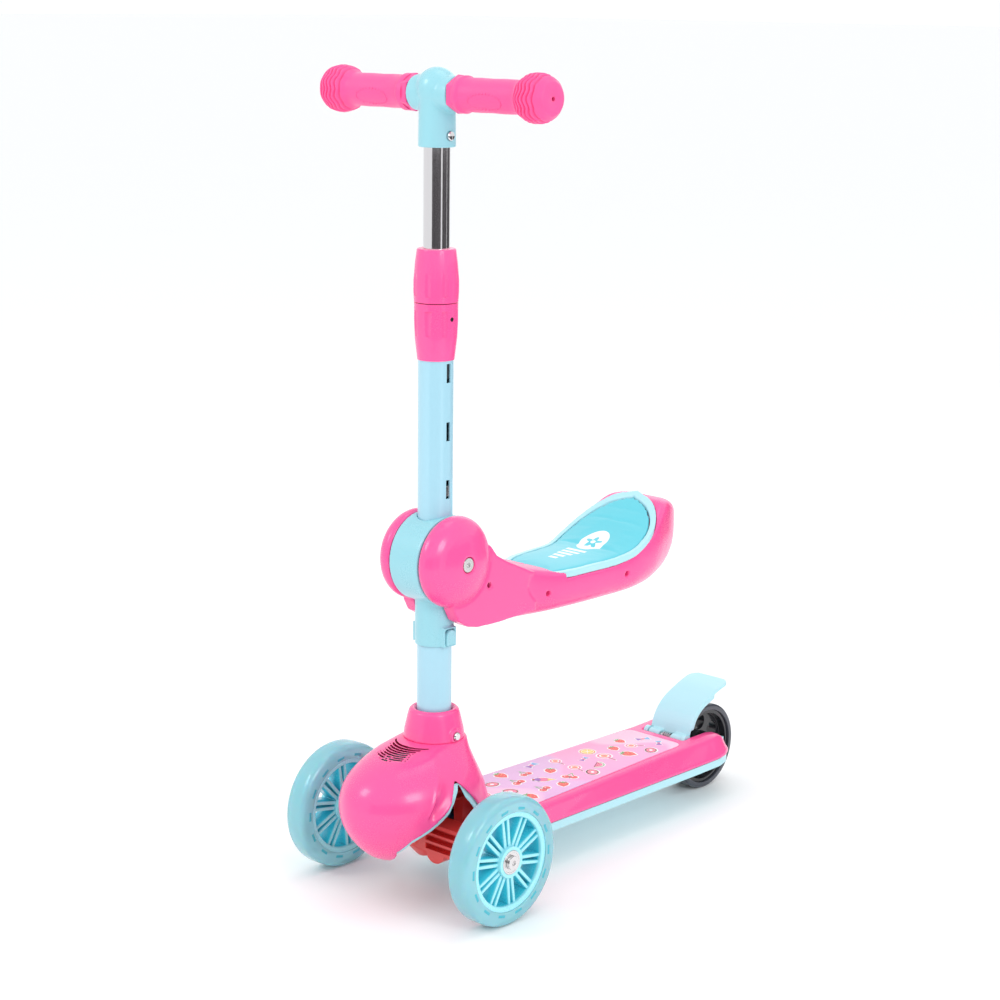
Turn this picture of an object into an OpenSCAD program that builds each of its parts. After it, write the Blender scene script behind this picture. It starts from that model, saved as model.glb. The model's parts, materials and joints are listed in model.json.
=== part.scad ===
// Three-wheeled kick scooter for a small child, with a seat that folds up against the stem.
// Units are millimetres. +Z is up, the scooter rolls towards -Y, and its left side is +X.
// The origin is on the floor, in the middle of the footprint.

/* [Wheels] */
// Distance between the front and the rear axle
wheelbase = 414; // [405:1:425]
// Distance between the middles of the two front wheels
track = 209; // [205:1:220]
// Diameter of a front wheel
front_wheel_d = 120; // [116:1:122]
// Width of a front wheel
front_wheel_w = 24; // [22:1:24]
// Diameter of the rear wheel
rear_wheel_d = 90; // [86:1:90]
// Width of the rear wheel
rear_wheel_w = 30; // [26:1:32]
// Diameter of the plastic core that a front tyre is cast round
front_core_d = 92; // [88:1:94]
// Number of twin spokes in a front core
front_spokes = 10; // [8:1:12]
// Number of round holes in the rear core
rear_core_holes = 6; // [5:1:6]

/* [Steering] */
// Angle of the steering pivot above the floor
pivot_angle = 45; // [40:1:48]
// Height at which the front axles cross the pivot
truck_z = 60; // [58:1:61]

/* [Stem] */
// Distance of the stem behind the front axle
stem_back = 20; // [18:1:22]
// Outer diameter of the painted stem tube
stem_d = 31.8; // [31:0.1:32]
// Outer diameter of the chromed inner tube
inner_d = 23.5; // [23:0.1:24]
// Height of the stem tube's upper end
stem_top = 505; // [500:1:510]
// Height of the lowest of the three height slots
slot_z = 380; // [378:0.5:382]
// Distance from one height slot to the next
slot_pitch = 52.4; // [50:0.1:54]

/* [Handlebar] */
// Height of the handlebar
bar_z = 728; // [720:1:740]
// Overall width of the handlebar
bar_w = 268; // [264:1:280]
// Diameter of a grip's end ball
ball_d = 42.5; // [40:0.5:44]
// Diameter of a grip's barrel
grip_d = 29; // [28.5:0.5:30]

/* [Deck] */
// Height of the deck's top
deck_top = 68; // [67:0.5:69]
// Width of the deck along its lower edge
deck_w = 106; // [102:1:110]

/* [Seat] */
// Height of the seat's pivot
seat_pivot_z = 315; // [314:0.5:316]
// Radius of the drum that the seat turns on
drum_r = 41; // [40:0.5:41.5]
// Thickness of the moulded walls
wall = 2.4; // [2:0.1:2.8]

/* [Hidden] */
$fn = 72;
eps = 0.02;
rub = 0.05;
snug = 0.02;
front_r = front_wheel_d / 2;
rear_r = rear_wheel_d / 2;
nose_front = 84;
front_axle_y = -(wheelbase + rear_r - nose_front) / 2;
stem_r = stem_d / 2;
stem_bore = stem_r - 1.5;
inner_r = inner_d / 2;
inner_bore = inner_r - 1.2;
slot_h = 17;
slot_w = 4.6;

pink = [1.0, 0.33, 0.62];
pale = [0.66, 0.88, 0.92];
sky = [0.70, 0.86, 0.93];
aqua = [0.38, 0.83, 0.88];
red = [0.84, 0.20, 0.22];
steel = [0.76, 0.77, 0.79];
dark = [0.22, 0.22, 0.25];

// ---------------------------------------------------------------- helpers

// Everything is drawn from the point on the floor under the front axle.
module from_axle() {
    translate([0, front_axle_y, 0]) children();
}

// Drawn round the stem's axis.
module on_stem() {
    translate([0, front_axle_y + stem_back, 0]) children();
}

// Turns a shape drawn along Z so that it lies along X.
module along_x() {
    rotate([0, 90, 0]) children();
}

// A child and its mirror image on the other side of the scooter.
module both_sides() {
    children();
    mirror([1, 0, 0]) children();
}

module tube(h, ro, ri) {
    difference() {
        cylinder(h = h, r = ro);
        translate([0, 0, -eps]) cylinder(h = h + 2 * eps, r = ri);
    }
}

// A solid of revolution, from an outline of [radius, height] points.
module turned(outline) {
    rotate_extrude() polygon(outline);
}

// One smooth step of a curve through four values.
function blend(a, b, c, d, t) =
    0.5 * (2 * b + (c - a) * t + (2 * a - 5 * b + 4 * c - d) * t * t
    + (3 * b - a - 3 * c + d) * t * t * t);

// A smooth run of rows through a short list of rows, n rows for each gap.
function smooth(rows, n) = concat(
    [for (i = [0 : len(rows) - 2], k = [0 : n - 1])
        let (p = max(i - 1, 0), q = min(i + 2, len(rows) - 1))
        [for (c = [0 : len(rows[0]) - 1])
            blend(rows[p][c], rows[i][c], rows[i + 1][c], rows[q][c], k / n)]],
    [rows[len(rows) - 1]]);

function signed_power(v, e) = sign(v) * pow(abs(v), e);

// A closed skin over rings of points that all have the same count.
module skin(rings) {
    m = len(rings[0]);
    last = len(rings) - 1;
    polyhedron(
        points = [for (ring = rings) each ring],
        faces = concat(
            [[for (i = [0 : m - 1]) m - 1 - i]],
            [for (r = [0 : last - 1], i = [0 : m - 1])
                let (j = (i + 1) % m)
                [r * m + i, r * m + j, (r + 1) * m + j, (r + 1) * m + i]],
            [[for (i = [0 : m - 1]) last * m + i]]),
        convexity = 6);
}

// ---------------------------------------------------------------- handlebar

bar_tube_r = 11;
grip_start = 24;
t_bottom = 682;
t_button_z = 692;
pin_r = 4;

module crossbar() {
    length = bar_w - 44;
    color(steel) on_stem() translate([-length / 2, 0, bar_z]) along_x()
        tube(length, bar_tube_r, bar_tube_r - 1.3);
}

module t_connector() {
    sleeve_r = 16.6;
    color(pale) on_stem() difference() {
        union() {
            translate([0, 0, t_bottom]) cylinder(h = bar_z - t_bottom, r1 = sleeve_r, r2 = 16);
            translate([0, 0, bar_z + 4]) sphere(r = 18.6);
            translate([-grip_start + 0.3, 0, bar_z]) along_x()
                cylinder(h = 2 * grip_start - 0.6, r = 15.6);
        }
        translate([-40, 0, bar_z]) along_x() cylinder(h = 80, r = bar_tube_r + snug);
        translate([0, 0, t_bottom - 1]) cylinder(h = 25, r = inner_r + snug);
        translate([0, 0, t_button_z]) along_x() cylinder(h = 30, r = pin_r + rub);
    }
}

// The ribbed end ball and the barrel are turned, and the flange next to the stem is hexagonal.
module grip() {
    end_x = bar_w / 2;
    ball_x = end_x - 17;
    ball_r = ball_d / 2;
    ribs = 5;
    rib_depth = 1.5;
    half = 12;
    profile = [for (i = [0 : 2 * ribs])
        let (x = -half + i * half / ribs)
        [sqrt(ball_r * ball_r - x * x * 0.9) - (i % 2 == 0 ? rib_depth : 0), ball_x + x]];
    color(pink) on_stem() translate([0, 0, bar_z]) difference() {
        union() {
            along_x() turned(concat([[0, grip_start + 7], [grip_d / 2, grip_start + 7],
                [grip_d / 2, ball_x - 19]], profile, [[15, end_x - 1.2], [13.8, end_x], [0, end_x]]));
            translate([grip_start, 0, 0]) along_x() cylinder(h = 9, r = 16.9, $fn = 6);
        }
        along_x() cylinder(h = end_x - 21.5, r = bar_tube_r + snug);
        along_x() cylinder(h = end_x + 1, r = 2);
    }
}

module left_grip() {
    grip();
}

module right_grip() {
    mirror([1, 0, 0]) grip();
}

// ---------------------------------------------------------------- telescopic tubes

inner_bottom = 345;
inner_top = 705;

module inner_tube() {
    color(steel) on_stem() difference() {
        translate([0, 0, inner_bottom]) tube(inner_top - inner_bottom, inner_r, inner_bore);
        translate([0, 0, t_button_z]) along_x() cylinder(h = 30, r = pin_r + rub);
        translate([5, -2.3, slot_z - 7]) cube([10, 4.6, 14]);
    }
}

// Slides in the stem tube, and keeps the chromed tube in the middle of it.
module inner_tube_bush() {
    color(dark) on_stem() translate([0, 0, inner_bottom])
        tube(20, stem_bore - rub, inner_r + 0.01);
}

// A bent strip of spring steel, drawn as a V on its side, that pushes a button outwards.
module spring_strip(reach, drop, width) {
    translate([0, width / 2, 0]) rotate([90, 0, 0]) linear_extrude(width) polygon([
        [reach, drop / 2 - 4], [reach, -4], [-reach, -drop], [-reach, -4],
        [-reach + 0.8, -4], [-reach + 0.8, -drop + 4], [reach - 0.8, -3.4],
        [reach - 0.8, drop / 2 - 4]]);
}

module t_button() {
    color(steel) on_stem() translate([0, 0, t_button_z]) along_x()
        turned([[0, inner_bore - 3.2], [5, inner_bore - 3.2], [5, inner_bore - 1.9],
            [pin_r, inner_bore - 1.9], [pin_r, 17.4], [3, 18.1], [0, 18.3]]);
}

module t_button_spring() {
    color(steel) on_stem() translate([0, 0, t_button_z]) spring_strip(inner_bore - 3.6, 20, 6);
}

// The clip's square tab stands in one of the stem's height slots.
module height_clip() {
    color(steel) on_stem() translate([0, 0, slot_z]) {
        spring_strip(inner_bore - 0.9, 24, 6);
        translate([inner_bore - 1.2, -1.8, -6]) cube([stem_r - inner_bore + 0.6, 3.6, 9]);
    }
}

stem_bottom = 101;
button_z = 152;

module stem_tube() {
    color(sky) on_stem() difference() {
        translate([0, 0, stem_bottom]) tube(stem_top - stem_bottom, stem_r, stem_bore);
        for (i = [0 : 2])
            translate([5, -slot_w / 2, slot_z - slot_h / 2 + i * slot_pitch])
                cube([20, slot_w, slot_h]);
        translate([-30, 0, button_z]) along_x() cylinder(h = 60, r = 4 + rub);
        translate([-30, 0, seat_pivot_z]) along_x() cylinder(h = 60, r = 4.02);
    }
}

// ---------------------------------------------------------------- twist collar

collar_bottom = 496;
collar_seam = 547;
collar_top = 594;
collet_r = 14.6;
collar_pin_z = 533;

// Long hollows that give fingers a hold. They reach in to a set distance from the axis.
module flutes(z, h, reach) {
    hollow_r = 6.6;
    for (a = [0 : 45 : 315])
        rotate([0, 0, a + 22.5]) translate([reach + hollow_r, 0, z]) cylinder(h = h, r = hollow_r);
}

module collar_lower() {
    color(pink) on_stem() difference() {
        turned([[stem_r + snug, collar_bottom], [16.6, collar_bottom], [18.9, 515], [19.5, 530],
            [19.6, collar_seam - 0.5], [collet_r + 0.3, collar_seam - 0.5],
            [collet_r + 0.3, stem_top + 3.2], [stem_r + snug, stem_top + 3.2]]);
        flutes(collar_bottom + 22, 22, 18.4);
        translate([0, 0, collar_pin_z]) along_x() cylinder(h = 30, r = 2.01);
    }
}

module collar_upper() {
    color(pink) on_stem() difference() {
        turned([[collet_r + 0.1, collar_seam + 0.3], [19.7, collar_seam + 0.3], [20.25, 556],
            [20.25, 566], [18.9, 582], [17.4, collar_top - 1], [16.6, collar_top],
            [inner_r + 0.1, collar_top], [inner_r + 0.1, 586], [collet_r + 0.1, 583]]);
        flutes(collar_seam + 6, 20, 19.4);
    }
}

// A split bush: the collar squeezes it on to the chromed tube.
module collar_collet() {
    color(dark) on_stem() difference() {
        turned([[inner_r + rub, 480], [stem_bore - 0.02, 480], [stem_bore - 0.02, stem_top + 0.02],
            [stem_r - 0.3, stem_top + 0.02], [stem_r - 0.3, stem_top + 3],
            [collet_r, stem_top + 3], [collet_r, 570], [inner_r + 1.2, 582],
            [inner_r + rub, 582]]);
        for (a = [30, 150, 270])
            rotate([0, 0, a]) translate([0, -0.8, 540]) cube([20, 1.6, 60]);
    }
}

module collar_pin() {
    color(dark) on_stem() translate([collet_r + 0.4, 0, collar_pin_z]) along_x()
        cylinder(h = 19.2 - collet_r, r = 2);
}

// ---------------------------------------------------------------- stem socket

socket_foot = 147;
head_top = 112;

module stem_socket() {
    color(pink) on_stem() difference() {
        union() {
            turned([[stem_r + snug, head_top + 0.1], [23, head_top + 0.1], [23, socket_foot],
                [28.3, socket_foot + 0.15], [27.2, 155], [24.2, 168], [22.9, 172.5], [20.6, 174.5],
                [stem_r + 2.6, 174.5], [stem_r + snug, 172]]);
            translate([-29, 0, button_z]) along_x() cylinder(h = 58, r = 7);
        }
        translate([0, 0, socket_foot - 9.85]) tube(10, 40, 23.05);
        translate([0, 0, head_top - 1]) cylinder(h = 80, r = stem_r + snug);
        translate([-40, 0, button_z]) along_x() cylinder(h = 80, r = 4 + rub);
    }
}

module stem_button() {
    color(steel) on_stem() translate([0, 0, button_z]) along_x()
        turned([[0, 11.2], [5.5, 11.2], [5.5, 13.2], [4, 13.2], [4, 29.6], [3, 30.6], [0, 30.9]]);
}

module left_stem_button() {
    stem_button();
}

module right_stem_button() {
    mirror([1, 0, 0]) stem_button();
}

module stem_button_spring() {
    color(steel) on_stem() translate([0, 3, button_z]) rotate([90, 0, 0])
        linear_extrude(6) difference() {
            translate([-11, -28]) square([22, 32]);
            translate([-10.2, -27.2]) square([20.4, 40]);
        }
}

// ---------------------------------------------------------------- seat hub

hub_half = 17.5;
hub_sleeve_r = 17.8;
hub_bottom = 235;
release_z = 244;
release_half = 5.6;
release_frame = 20.2;

module seat_hub() {
    color(pale) on_stem() difference() {
        union() {
            translate([-hub_half, 0, seat_pivot_z]) along_x() cylinder(h = 2 * hub_half, r = drum_r);
            translate([0, 0, hub_bottom]) cylinder(h = 60, r = hub_sleeve_r);
            both_sides() translate([0, -8, hub_bottom]) cube([release_frame, 16, 18]);
        }
        translate([0, 0, hub_bottom - 1]) cylinder(h = 140, r = stem_r + snug);
        translate([-30, 0, seat_pivot_z]) along_x() cylinder(h = 60, r = 4.02);
        both_sides() translate([stem_r, -release_half - 0.3, release_z - 7.3])
            cube([10, 2 * release_half + 0.6, 14.6]);
        both_sides() translate([-cheek_in - 20, 0, seat_pivot_z]) along_x() difference() {
            cylinder(h = 20 + cheek_in - stem_r - 4, r = drum_r - wall);
            cylinder(h = 60, r = 8);
        }
    }
}

// An arched squeeze button that stands in a window of the hub's sleeve.
module seat_release() {
    color(pale) on_stem() translate([stem_r + 2.6, 0, release_z]) along_x()
        linear_extrude(release_frame - stem_r - 1) rotate([0, 0, 90]) {
            translate([0, 1.4]) circle(r = release_half);
            translate([-release_half, -7]) square([2 * release_half, 8.4]);
        }
}

module left_seat_release() {
    seat_release();
}

module right_seat_release() {
    mirror([1, 0, 0]) seat_release();
}

cheek_in = 18.2;
cheek_out = 43.5;
cheek_r = 42;
bolt_reach = 38.5;

module seat_pivot_bolt() {
    color(steel) on_stem() translate([0, 0, seat_pivot_z]) along_x() difference() {
        union() {
            translate([0, 0, -bolt_reach - 1.7]) cylinder(h = 2 * bolt_reach + 1.7, r = 4);
            translate([0, 0, bolt_reach]) cylinder(h = 3.6, r = 6.5);
        }
        translate([0, 0, bolt_reach + 1.6]) cylinder(h = 4, r = 2.5, $fn = 6);
    }
}

module seat_pivot_nut() {
    color(steel) on_stem() translate([-bolt_reach - 3.6, 0, seat_pivot_z]) along_x()
        difference() {
            cylinder(h = 3.55, r = 6.5);
            translate([0, 0, 1.8]) cylinder(h = 10, r = 4.02);
        }
}

// ---------------------------------------------------------------- seat

// Rows of the moulded seat body: y, half width, top, underside.
seat_rows = [
    [60, 30, 302, 246], [90, 31, 299, 243.5], [120, 33, 292, 242], [150, 39, 286, 241.5],
    [190, 43, 286, 241.5], [225, 45.5, 287, 242], [255, 49, 296, 242.5], [282, 47, 312, 243.5],
    [304, 40, 326, 246], [322, 32, 326, 251], [338, 23, 319, 260], [350, 13, 311, 273],
    [358, 1.5, 303, 288]];

// Rows of the pad: y, half width, height of its top.
pad_rows = [
    [143, 31.5, 282.5], [165, 39.6, 284], [200, 42.5, 284.8], [225, 44.5, 285.5],
    [246, 49, 290.7], [262, 49.2, 298], [276, 46.5, 306], [290, 38.5, 316.5],
    [301, 24, 327], [308, 0, 333]];

// A section of the seat body across the scooter: nearly flat above, round beneath.
function seat_section(row, inset, lid) =
    let (half = max(row[1] - inset, 0.8), top = row[2] - lid, low = row[3] + inset,
        middle = low + (top - low) * 0.62)
    [for (a = [0 : 12 : 348])
        let (upper = sin(a) >= 0)
        [half * signed_power(cos(a), upper ? 0.34 : 0.8), row[0],
            middle + (upper ? top - middle : middle - low)
            * signed_power(sin(a), upper ? 0.34 : 0.8)]];

module seat_body(inset, lid) {
    rows = smooth(seat_rows, 2);
    mid = 215;
    pull = inset / 155;
    skin([for (row = rows)
        let (y = row[0] + (mid - row[0]) * pull)
        seat_section([y, row[1], row[2], max(row[3], 0)], inset, min(lid, (row[2] - row[3]) / 3))]);
}

// The pad's outline seen from above, a set distance inside its edge.
function pad_outline(inset) =
    let (rows = smooth(pad_rows, 3), first = pad_rows[0][0], last = pad_rows[9][0],
        side = [for (row = rows) [max(row[1] - inset, 0),
            first + inset + (row[0] - first) * (last - first - 2 * inset) / (last - first)]])
    concat(side, [for (i = [len(side) - 2 : -1 : 0]) [-side[i][0], side[i][1]]]);

// The sheet between two heights below the pad's top, cut to the pad's outline.
module pad_layer(inset, above, below) {
    rows = smooth(pad_rows, 2);
    first = rows[0];
    last = rows[len(rows) - 1];
    line = concat([[first[0] - 4, first[2] - 0.2]], [for (row = rows) [row[0], row[2]]],
        [[last[0] + 4, last[2] + 3.5]]);
    n = len(line) - 1;
    intersection() {
        rotate([90, 0, 90]) translate([0, 0, -60]) linear_extrude(120) polygon(concat(
            [for (p = line) [p[0], p[1] + above]],
            [for (i = [n : -1 : 0]) [line[i][0], line[i][1] - below]]));
        translate([0, 0, 200]) linear_extrude(200) polygon(pad_outline(inset));
    }
}

// The shoulder and the tail that join a cheek to the seat body, from the side.
function cheek_side() = [
    [12, 272], [18, 261], [30, 254], [44, 251], [70, 250.5], [122, 252], [122, 288], [100, 298],
    [82, 306], [68, 314], [60, 324], [40, 340], [12, 300]];

// A cheek's face from its rim to its middle: points of radius and distance from the middle.
function cheek_dome(r, out) = concat([[r - 2, cheek_in]],
    [for (a = [0 : 10 : 90])
        [r * cos(a), cheek_in + 4 + (out - cheek_in - 4) * pow(sin(a), 0.9)]]);

module cheek() {
    translate([0, stem_back, seat_pivot_z]) along_x() difference() {
        turned(concat([[0, cheek_in]], cheek_dome(cheek_r, cheek_out)));
        turned(concat([[9.5, cheek_in - 1], [cheek_r - 3.4, cheek_in - 1]],
            [for (p = cheek_dome(cheek_r - wall, cheek_out - wall)) if (p[0] > 9.5) p],
            [[9.5, cheek_out - 3]]));
    }
    rotate([90, 0, 90]) difference() {
        translate([0, 0, cheek_in]) linear_extrude(14.8) polygon(cheek_side());
        translate([0, 0, cheek_in - 1]) linear_extrude(13.4) difference() {
            offset(delta = -wall) polygon(cheek_side());
            translate([stem_back, seat_pivot_z]) circle(r = cheek_r);
        }
        translate([stem_back, seat_pivot_z, cheek_in - 1]) cylinder(h = 30, r = cheek_r - wall);
    }
}

seat_screw_spots = [[58, 288], [136, 266], [238, 269]];
seat_head_x = 20;

// A row of bars along X at the seat's screws, between two distances from the middle.
module at_seat_screws(from_x, to_x, r) {
    for (spot = seat_screw_spots)
        translate([from_x, spot[0], spot[1]]) along_x() cylinder(h = to_x - from_x, r = r);
}

// Half of the seat. The screws' heads sink into the left half and bite in the right half.
module seat_shell_half(screw_r, head_r) {
    difference() {
        union() {
            difference() {
                seat_body(0, -0.6);
                seat_body(wall, 9.4);
            }
            intersection() {
                seat_body(wall / 2, 5);
                at_seat_screws(0, 60, 5);
            }
            cheek();
        }
        translate([-60, -100, 200]) cube([60.05, 600, 200]);
        translate([-cheek_in, stem_back, seat_pivot_z]) along_x()
            cylinder(h = 2 * cheek_in, r = drum_r + 0.7);
        translate([0, stem_back, 200]) cylinder(h = 75, r = hub_sleeve_r + 0.4);
        translate([0, stem_back, seat_pivot_z]) along_x() {
            cylinder(h = 60, r = 4 + rub);
            translate([0, 0, bolt_reach]) cylinder(h = 20, r = 7.5);
        }
        pad_layer(-0.2, 30, 6.5);
        intersection() {
            pad_layer(-2.6, 30, 6.5);
            translate([-80, 158, 200]) cube([160, 114, 200]);
        }
        at_seat_screws(-1, seat_head_x + 1, screw_r);
        if (head_r > 0) at_seat_screws(seat_head_x, 60, head_r);
    }
}

module seat_shell_left() {
    color(pink) from_axle() seat_shell_half(1.6, 2.6);
}

module seat_shell_right() {
    color(pink) from_axle() mirror([1, 0, 0]) seat_shell_half(1.52, 0);
}

module seat_trim() {
    color(pale) from_axle() difference() {
        pad_layer(0, 0.4, 6.3);
        pad_layer(4.6, 30, 30);
    }
}

module seat_cushion() {
    color(aqua) from_axle() pad_layer(4.9, 0.8, 6.2);
}

module seat_screws() {
    color(dark) from_axle() {
        at_seat_screws(1 - seat_head_x, seat_head_x + 0.1, 1.5);
        at_seat_screws(seat_head_x + 0.05, seat_head_x + 2, 2.4);
    }
}

// ---------------------------------------------------------------- nose

// Rows of the nose: height, half width, front, back, middle.
nose_rows = [
    [40, 8, -38, 30, -10], [44, 20, -46, 50, -8], [50, 31, -58, 60, -4], [62, 44, -71, 70, 0],
    [78, 54, -81, 70, 0], [95, 58.5, -nose_front, 62, 0], [112, 56, -80, 55, 2],
    [126, 48.5, -68, 49.5, 5], [138, 38.5, -46, 47, 10], [socket_foot, 28.4, -9, 48.5, stem_back]];

// What the nose's sides leave open for the wheels to swing, from the side.
notch = [
    [-4, 121], [-19, 97], [-34, 84], [-48, 73], [-53, 60], [-46, 47], [-43, 30], [100, 30],
    [100, deck_top + 0.6], [46, deck_top + 0.6], [28, 86], [8, 108]];

module nose_body(inset) {
    rows = smooth(nose_rows, 2);
    skin([for (row = rows)
        let (half = row[1] - inset, front = row[4] - row[2] - inset, back = row[3] - row[4] - inset)
        [for (a = [0 : -7.5 : -352.5])
            [half * signed_power(cos(a), sin(a) < 0 ? 1 : 0.85),
                row[4] + (sin(a) < 0 ? front : back) * signed_power(sin(a), sin(a) < 0 ? 1 : 0.85),
                row[0]]]]);
}

module along_x_prism(outline) {
    rotate([90, 0, 90]) translate([0, 0, -100]) linear_extrude(200) polygon(outline);
}

module nose_shell() {
    color(pink) from_axle() difference() {
        nose_body(0);
        intersection() {
            nose_body(wall);
            translate([-100, -100, 30]) cube([200, 200, socket_foot - wall - 30]);
        }
        along_x_prism(notch);
        translate([-100, -100, 30]) cube([200, 200, 14.5]);
        translate([0, stem_back, 100]) cylinder(h = 60, r = 23.1);
    }
}

// The liner shows as a pale lip all round the nose's lower edge.
module nose_trim() {
    color(pale) from_axle() difference() {
        nose_body(wall + 0.15);
        nose_body(wall + 1.6);
        along_x_prism([for (p = notch) [p[0] + (p[0] < 0 ? 3.5 : -3), p[1] - 4]]);
        translate([-100, 40, 30]) cube([200, 80, 140]);
        translate([-100, -100, 118]) cube([200, 200, 60]);
        translate([-100, -100, 30]) cube([200, 200, 11]);
    }
}

// ---------------------------------------------------------------- steering

// Drawn round the pivot: its Z runs forward and up, its Y runs back and up.
module on_pivot() {
    from_axle() translate([0, 0, truck_z]) rotate([90 - pivot_angle, 0, 0]) children();
}

module ribs(x, y, z, count, pitch, size) {
    for (i = [0 : count - 1])
        translate([x, y, z + i * pitch]) cube(size);
}

head_half = 28;
head_low = 90;
head_leg = 24;
head_screw = [18, 47];
head_barrel_r = 13;
truck_barrel_r = 16;
barrel_seam = 8.2;

module steering_head() {
    color(red) difference() {
        union() {
            from_axle() {
                translate([-head_half, -14, head_low]) cube([2 * head_half, 60, head_top - head_low]);
                translate([-head_leg, 34, edge_z + 0.1]) cube([2 * head_leg, 18, 50]);
            }
            on_pivot() cylinder(h = 36, r = head_barrel_r);
        }
        from_axle() {
            translate([0, stem_back, stem_bottom - 0.05]) cylinder(h = 40, r = stem_r + snug);
            both_sides() ribs(head_half - 3.8, -15, head_low + 2.5, 3, 6.5, [5, 70, 4]);
            translate([-12.5, 30, 40]) cube([25, 30, 47]);
            both_sides() translate([head_screw[0], head_screw[1], 30]) cylinder(h = 50, r = 2.02);
        }
        on_pivot() {
            translate([0, 0, -40]) cylinder(h = 40 + barrel_seam, r = truck_barrel_r + 1.5);
            cylinder(h = 60, r = 4.02);
        }
    }
}

truck_reach = 90.4;

// The casting that carries both front wheels and swings under the nose.
module front_truck() {
    arm = 62;
    color(red) difference() {
        union() {
            on_pivot() translate([0, 0, -20]) cylinder(h = 20 + barrel_seam - 0.2, r = truck_barrel_r);
            from_axle() {
                translate([-arm, -11, 48]) cube([2 * arm, 22, 28]);
                both_sides() translate([32, 11, 51]) rotate([90, 0, 0]) cylinder(h = 22, r = 12);
                translate([-truck_reach, 0, truck_z]) along_x()
                    cylinder(h = 2 * truck_reach, r = 11);
            }
        }
        on_pivot() {
            translate([0, 0, -40]) cylinder(h = 80, r = 4 + rub);
            translate([0, 0, barrel_seam - 0.2]) cylinder(h = 60, r = head_barrel_r + 0.8);
        }
        from_axle() {
            both_sides() ribs(20, -12, 51, 3, 8, [39, 8, 5.5]);
            both_sides() ribs(20, 4, 51, 3, 8, [39, 8, 5.5]);
            translate([-100, 0, truck_z]) along_x() cylinder(h = 32, r = 4.02);
            translate([68, 0, truck_z]) along_x() cylinder(h = 32, r = 4.02);
        }
    }
}

module kingpin() {
    color(steel) on_pivot() {
        translate([0, 0, -20.3]) cylinder(h = 62, r = 4);
        translate([0, 0, -25.3]) cylinder(h = 5, r = 7.5, $fn = 6);
    }
}

module kingpin_nut() {
    color(steel) on_pivot() translate([0, 0, 36.1]) difference() {
        union() {
            cylinder(h = 5.4, r = 7.5, $fn = 6);
            cylinder(h = 1.2, r = 9);
        }
        translate([0, 0, -1]) cylinder(h = 10, r = 4.02);
    }
}

// Rubber springs between the truck's arms and the head: they bring the wheels back straight.
module return_buffers() {
    color(dark) from_axle() both_sides() translate([22, -2, 76.1]) cylinder(h = 13.8, r = 7);
}

// Sleeves that keep the inner rings of the bearings off the casting.
module front_spacers() {
    color(steel) from_axle() both_sides() translate([truck_reach + 0.1, 0, truck_z]) along_x()
        tube(track / 2 - front_wheel_w / 2 - truck_reach - 0.2, 6, 4.02);
}

module front_axle_bolts() {
    outer = track / 2 + front_wheel_w / 2;
    color(steel) from_axle() both_sides() translate([0, 0, truck_z]) along_x() difference() {
        union() {
            translate([0, 0, 70]) cylinder(h = outer - 69.9, r = 4);
            translate([0, 0, outer + 0.1]) cylinder(h = 2.8, r = 6.4);
        }
        translate([0, 0, outer + 1]) cylinder(h = 4, r = 2.5, $fn = 6);
    }
}

// ---------------------------------------------------------------- front wheels

// A rectangle with round corners, drawn from its middle.
module round_rect(w, h, r) {
    square([w - 2 * r, h], center = true);
    square([w, h - 2 * r], center = true);
    for (x = [-1, 1], y = [-1, 1])
        translate([x * (w / 2 - r), y * (h / 2 - r)]) circle(r = r, $fn = 36);
}

module front_wheel_place() {
    from_axle() translate([track / 2, 0, truck_z]) along_x() children();
}

core_r = front_core_d / 2;

module front_tyre() {
    hidden = 10;
    color(pale) front_wheel_place() rotate_extrude() intersection() {
        translate([(front_r + core_r - hidden) / 2, 0])
            round_rect(front_r - core_r + hidden, front_wheel_w, 7.5);
        translate([core_r, -50]) square([front_r - core_r, 100]);
    }
}

module front_core() {
    rim_in = 41;
    seat_r = 11.02;
    half = front_wheel_w / 2;
    color(aqua) front_wheel_place() difference() {
        union() {
            translate([0, 0, -10]) tube(20, core_r - 0.02, rim_in);
            translate([0, 0, -half]) cylinder(h = 2 * half, r = 14.5);
            for (i = [0 : front_spokes - 1])
                rotate([0, 0, i * 360 / front_spokes]) for (lean = [-1, 1])
                    rotate([0, 0, lean * 3]) translate([12, lean * 1.6 - 1.1, -8])
                        cube([rim_in - 11, 2.2, 16]);
        }
        translate([0, 0, -half - 1]) cylinder(h = 8.2, r = seat_r);
        translate([0, 0, half - 7.2]) cylinder(h = 8.2, r = seat_r);
        translate([0, 0, -half]) cylinder(h = 2 * half, r = 10);
    }
}

module ball_bearing(z) {
    translate([0, 0, z]) difference() {
        cylinder(h = 7, r = 11);
        translate([0, 0, -1]) cylinder(h = 9, r = 4 + rub);
        for (face = [-0.1, 6.7])
            translate([0, 0, face]) tube(0.4, 9.3, 6);
    }
}

module front_bearings() {
    half = front_wheel_w / 2;
    color(steel) front_wheel_place() {
        ball_bearing(-half);
        ball_bearing(half - 7);
    }
}

// A magnet ring on a coil former that lights the wheel as it turns.
module led_ring() {
    color(dark) front_wheel_place() translate([0, 0, -4]) tube(8, 9.98, 6.5);
}

module left_tyre() {
    front_tyre();
}

module right_tyre() {
    mirror([1, 0, 0]) front_tyre();
}

module left_core() {
    front_core();
}

module right_core() {
    mirror([1, 0, 0]) front_core();
}

module left_bearings() {
    front_bearings();
}

module right_bearings() {
    mirror([1, 0, 0]) front_bearings();
}

module left_led_ring() {
    led_ring();
}

module right_led_ring() {
    mirror([1, 0, 0]) led_ring();
}

// ---------------------------------------------------------------- deck

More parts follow.
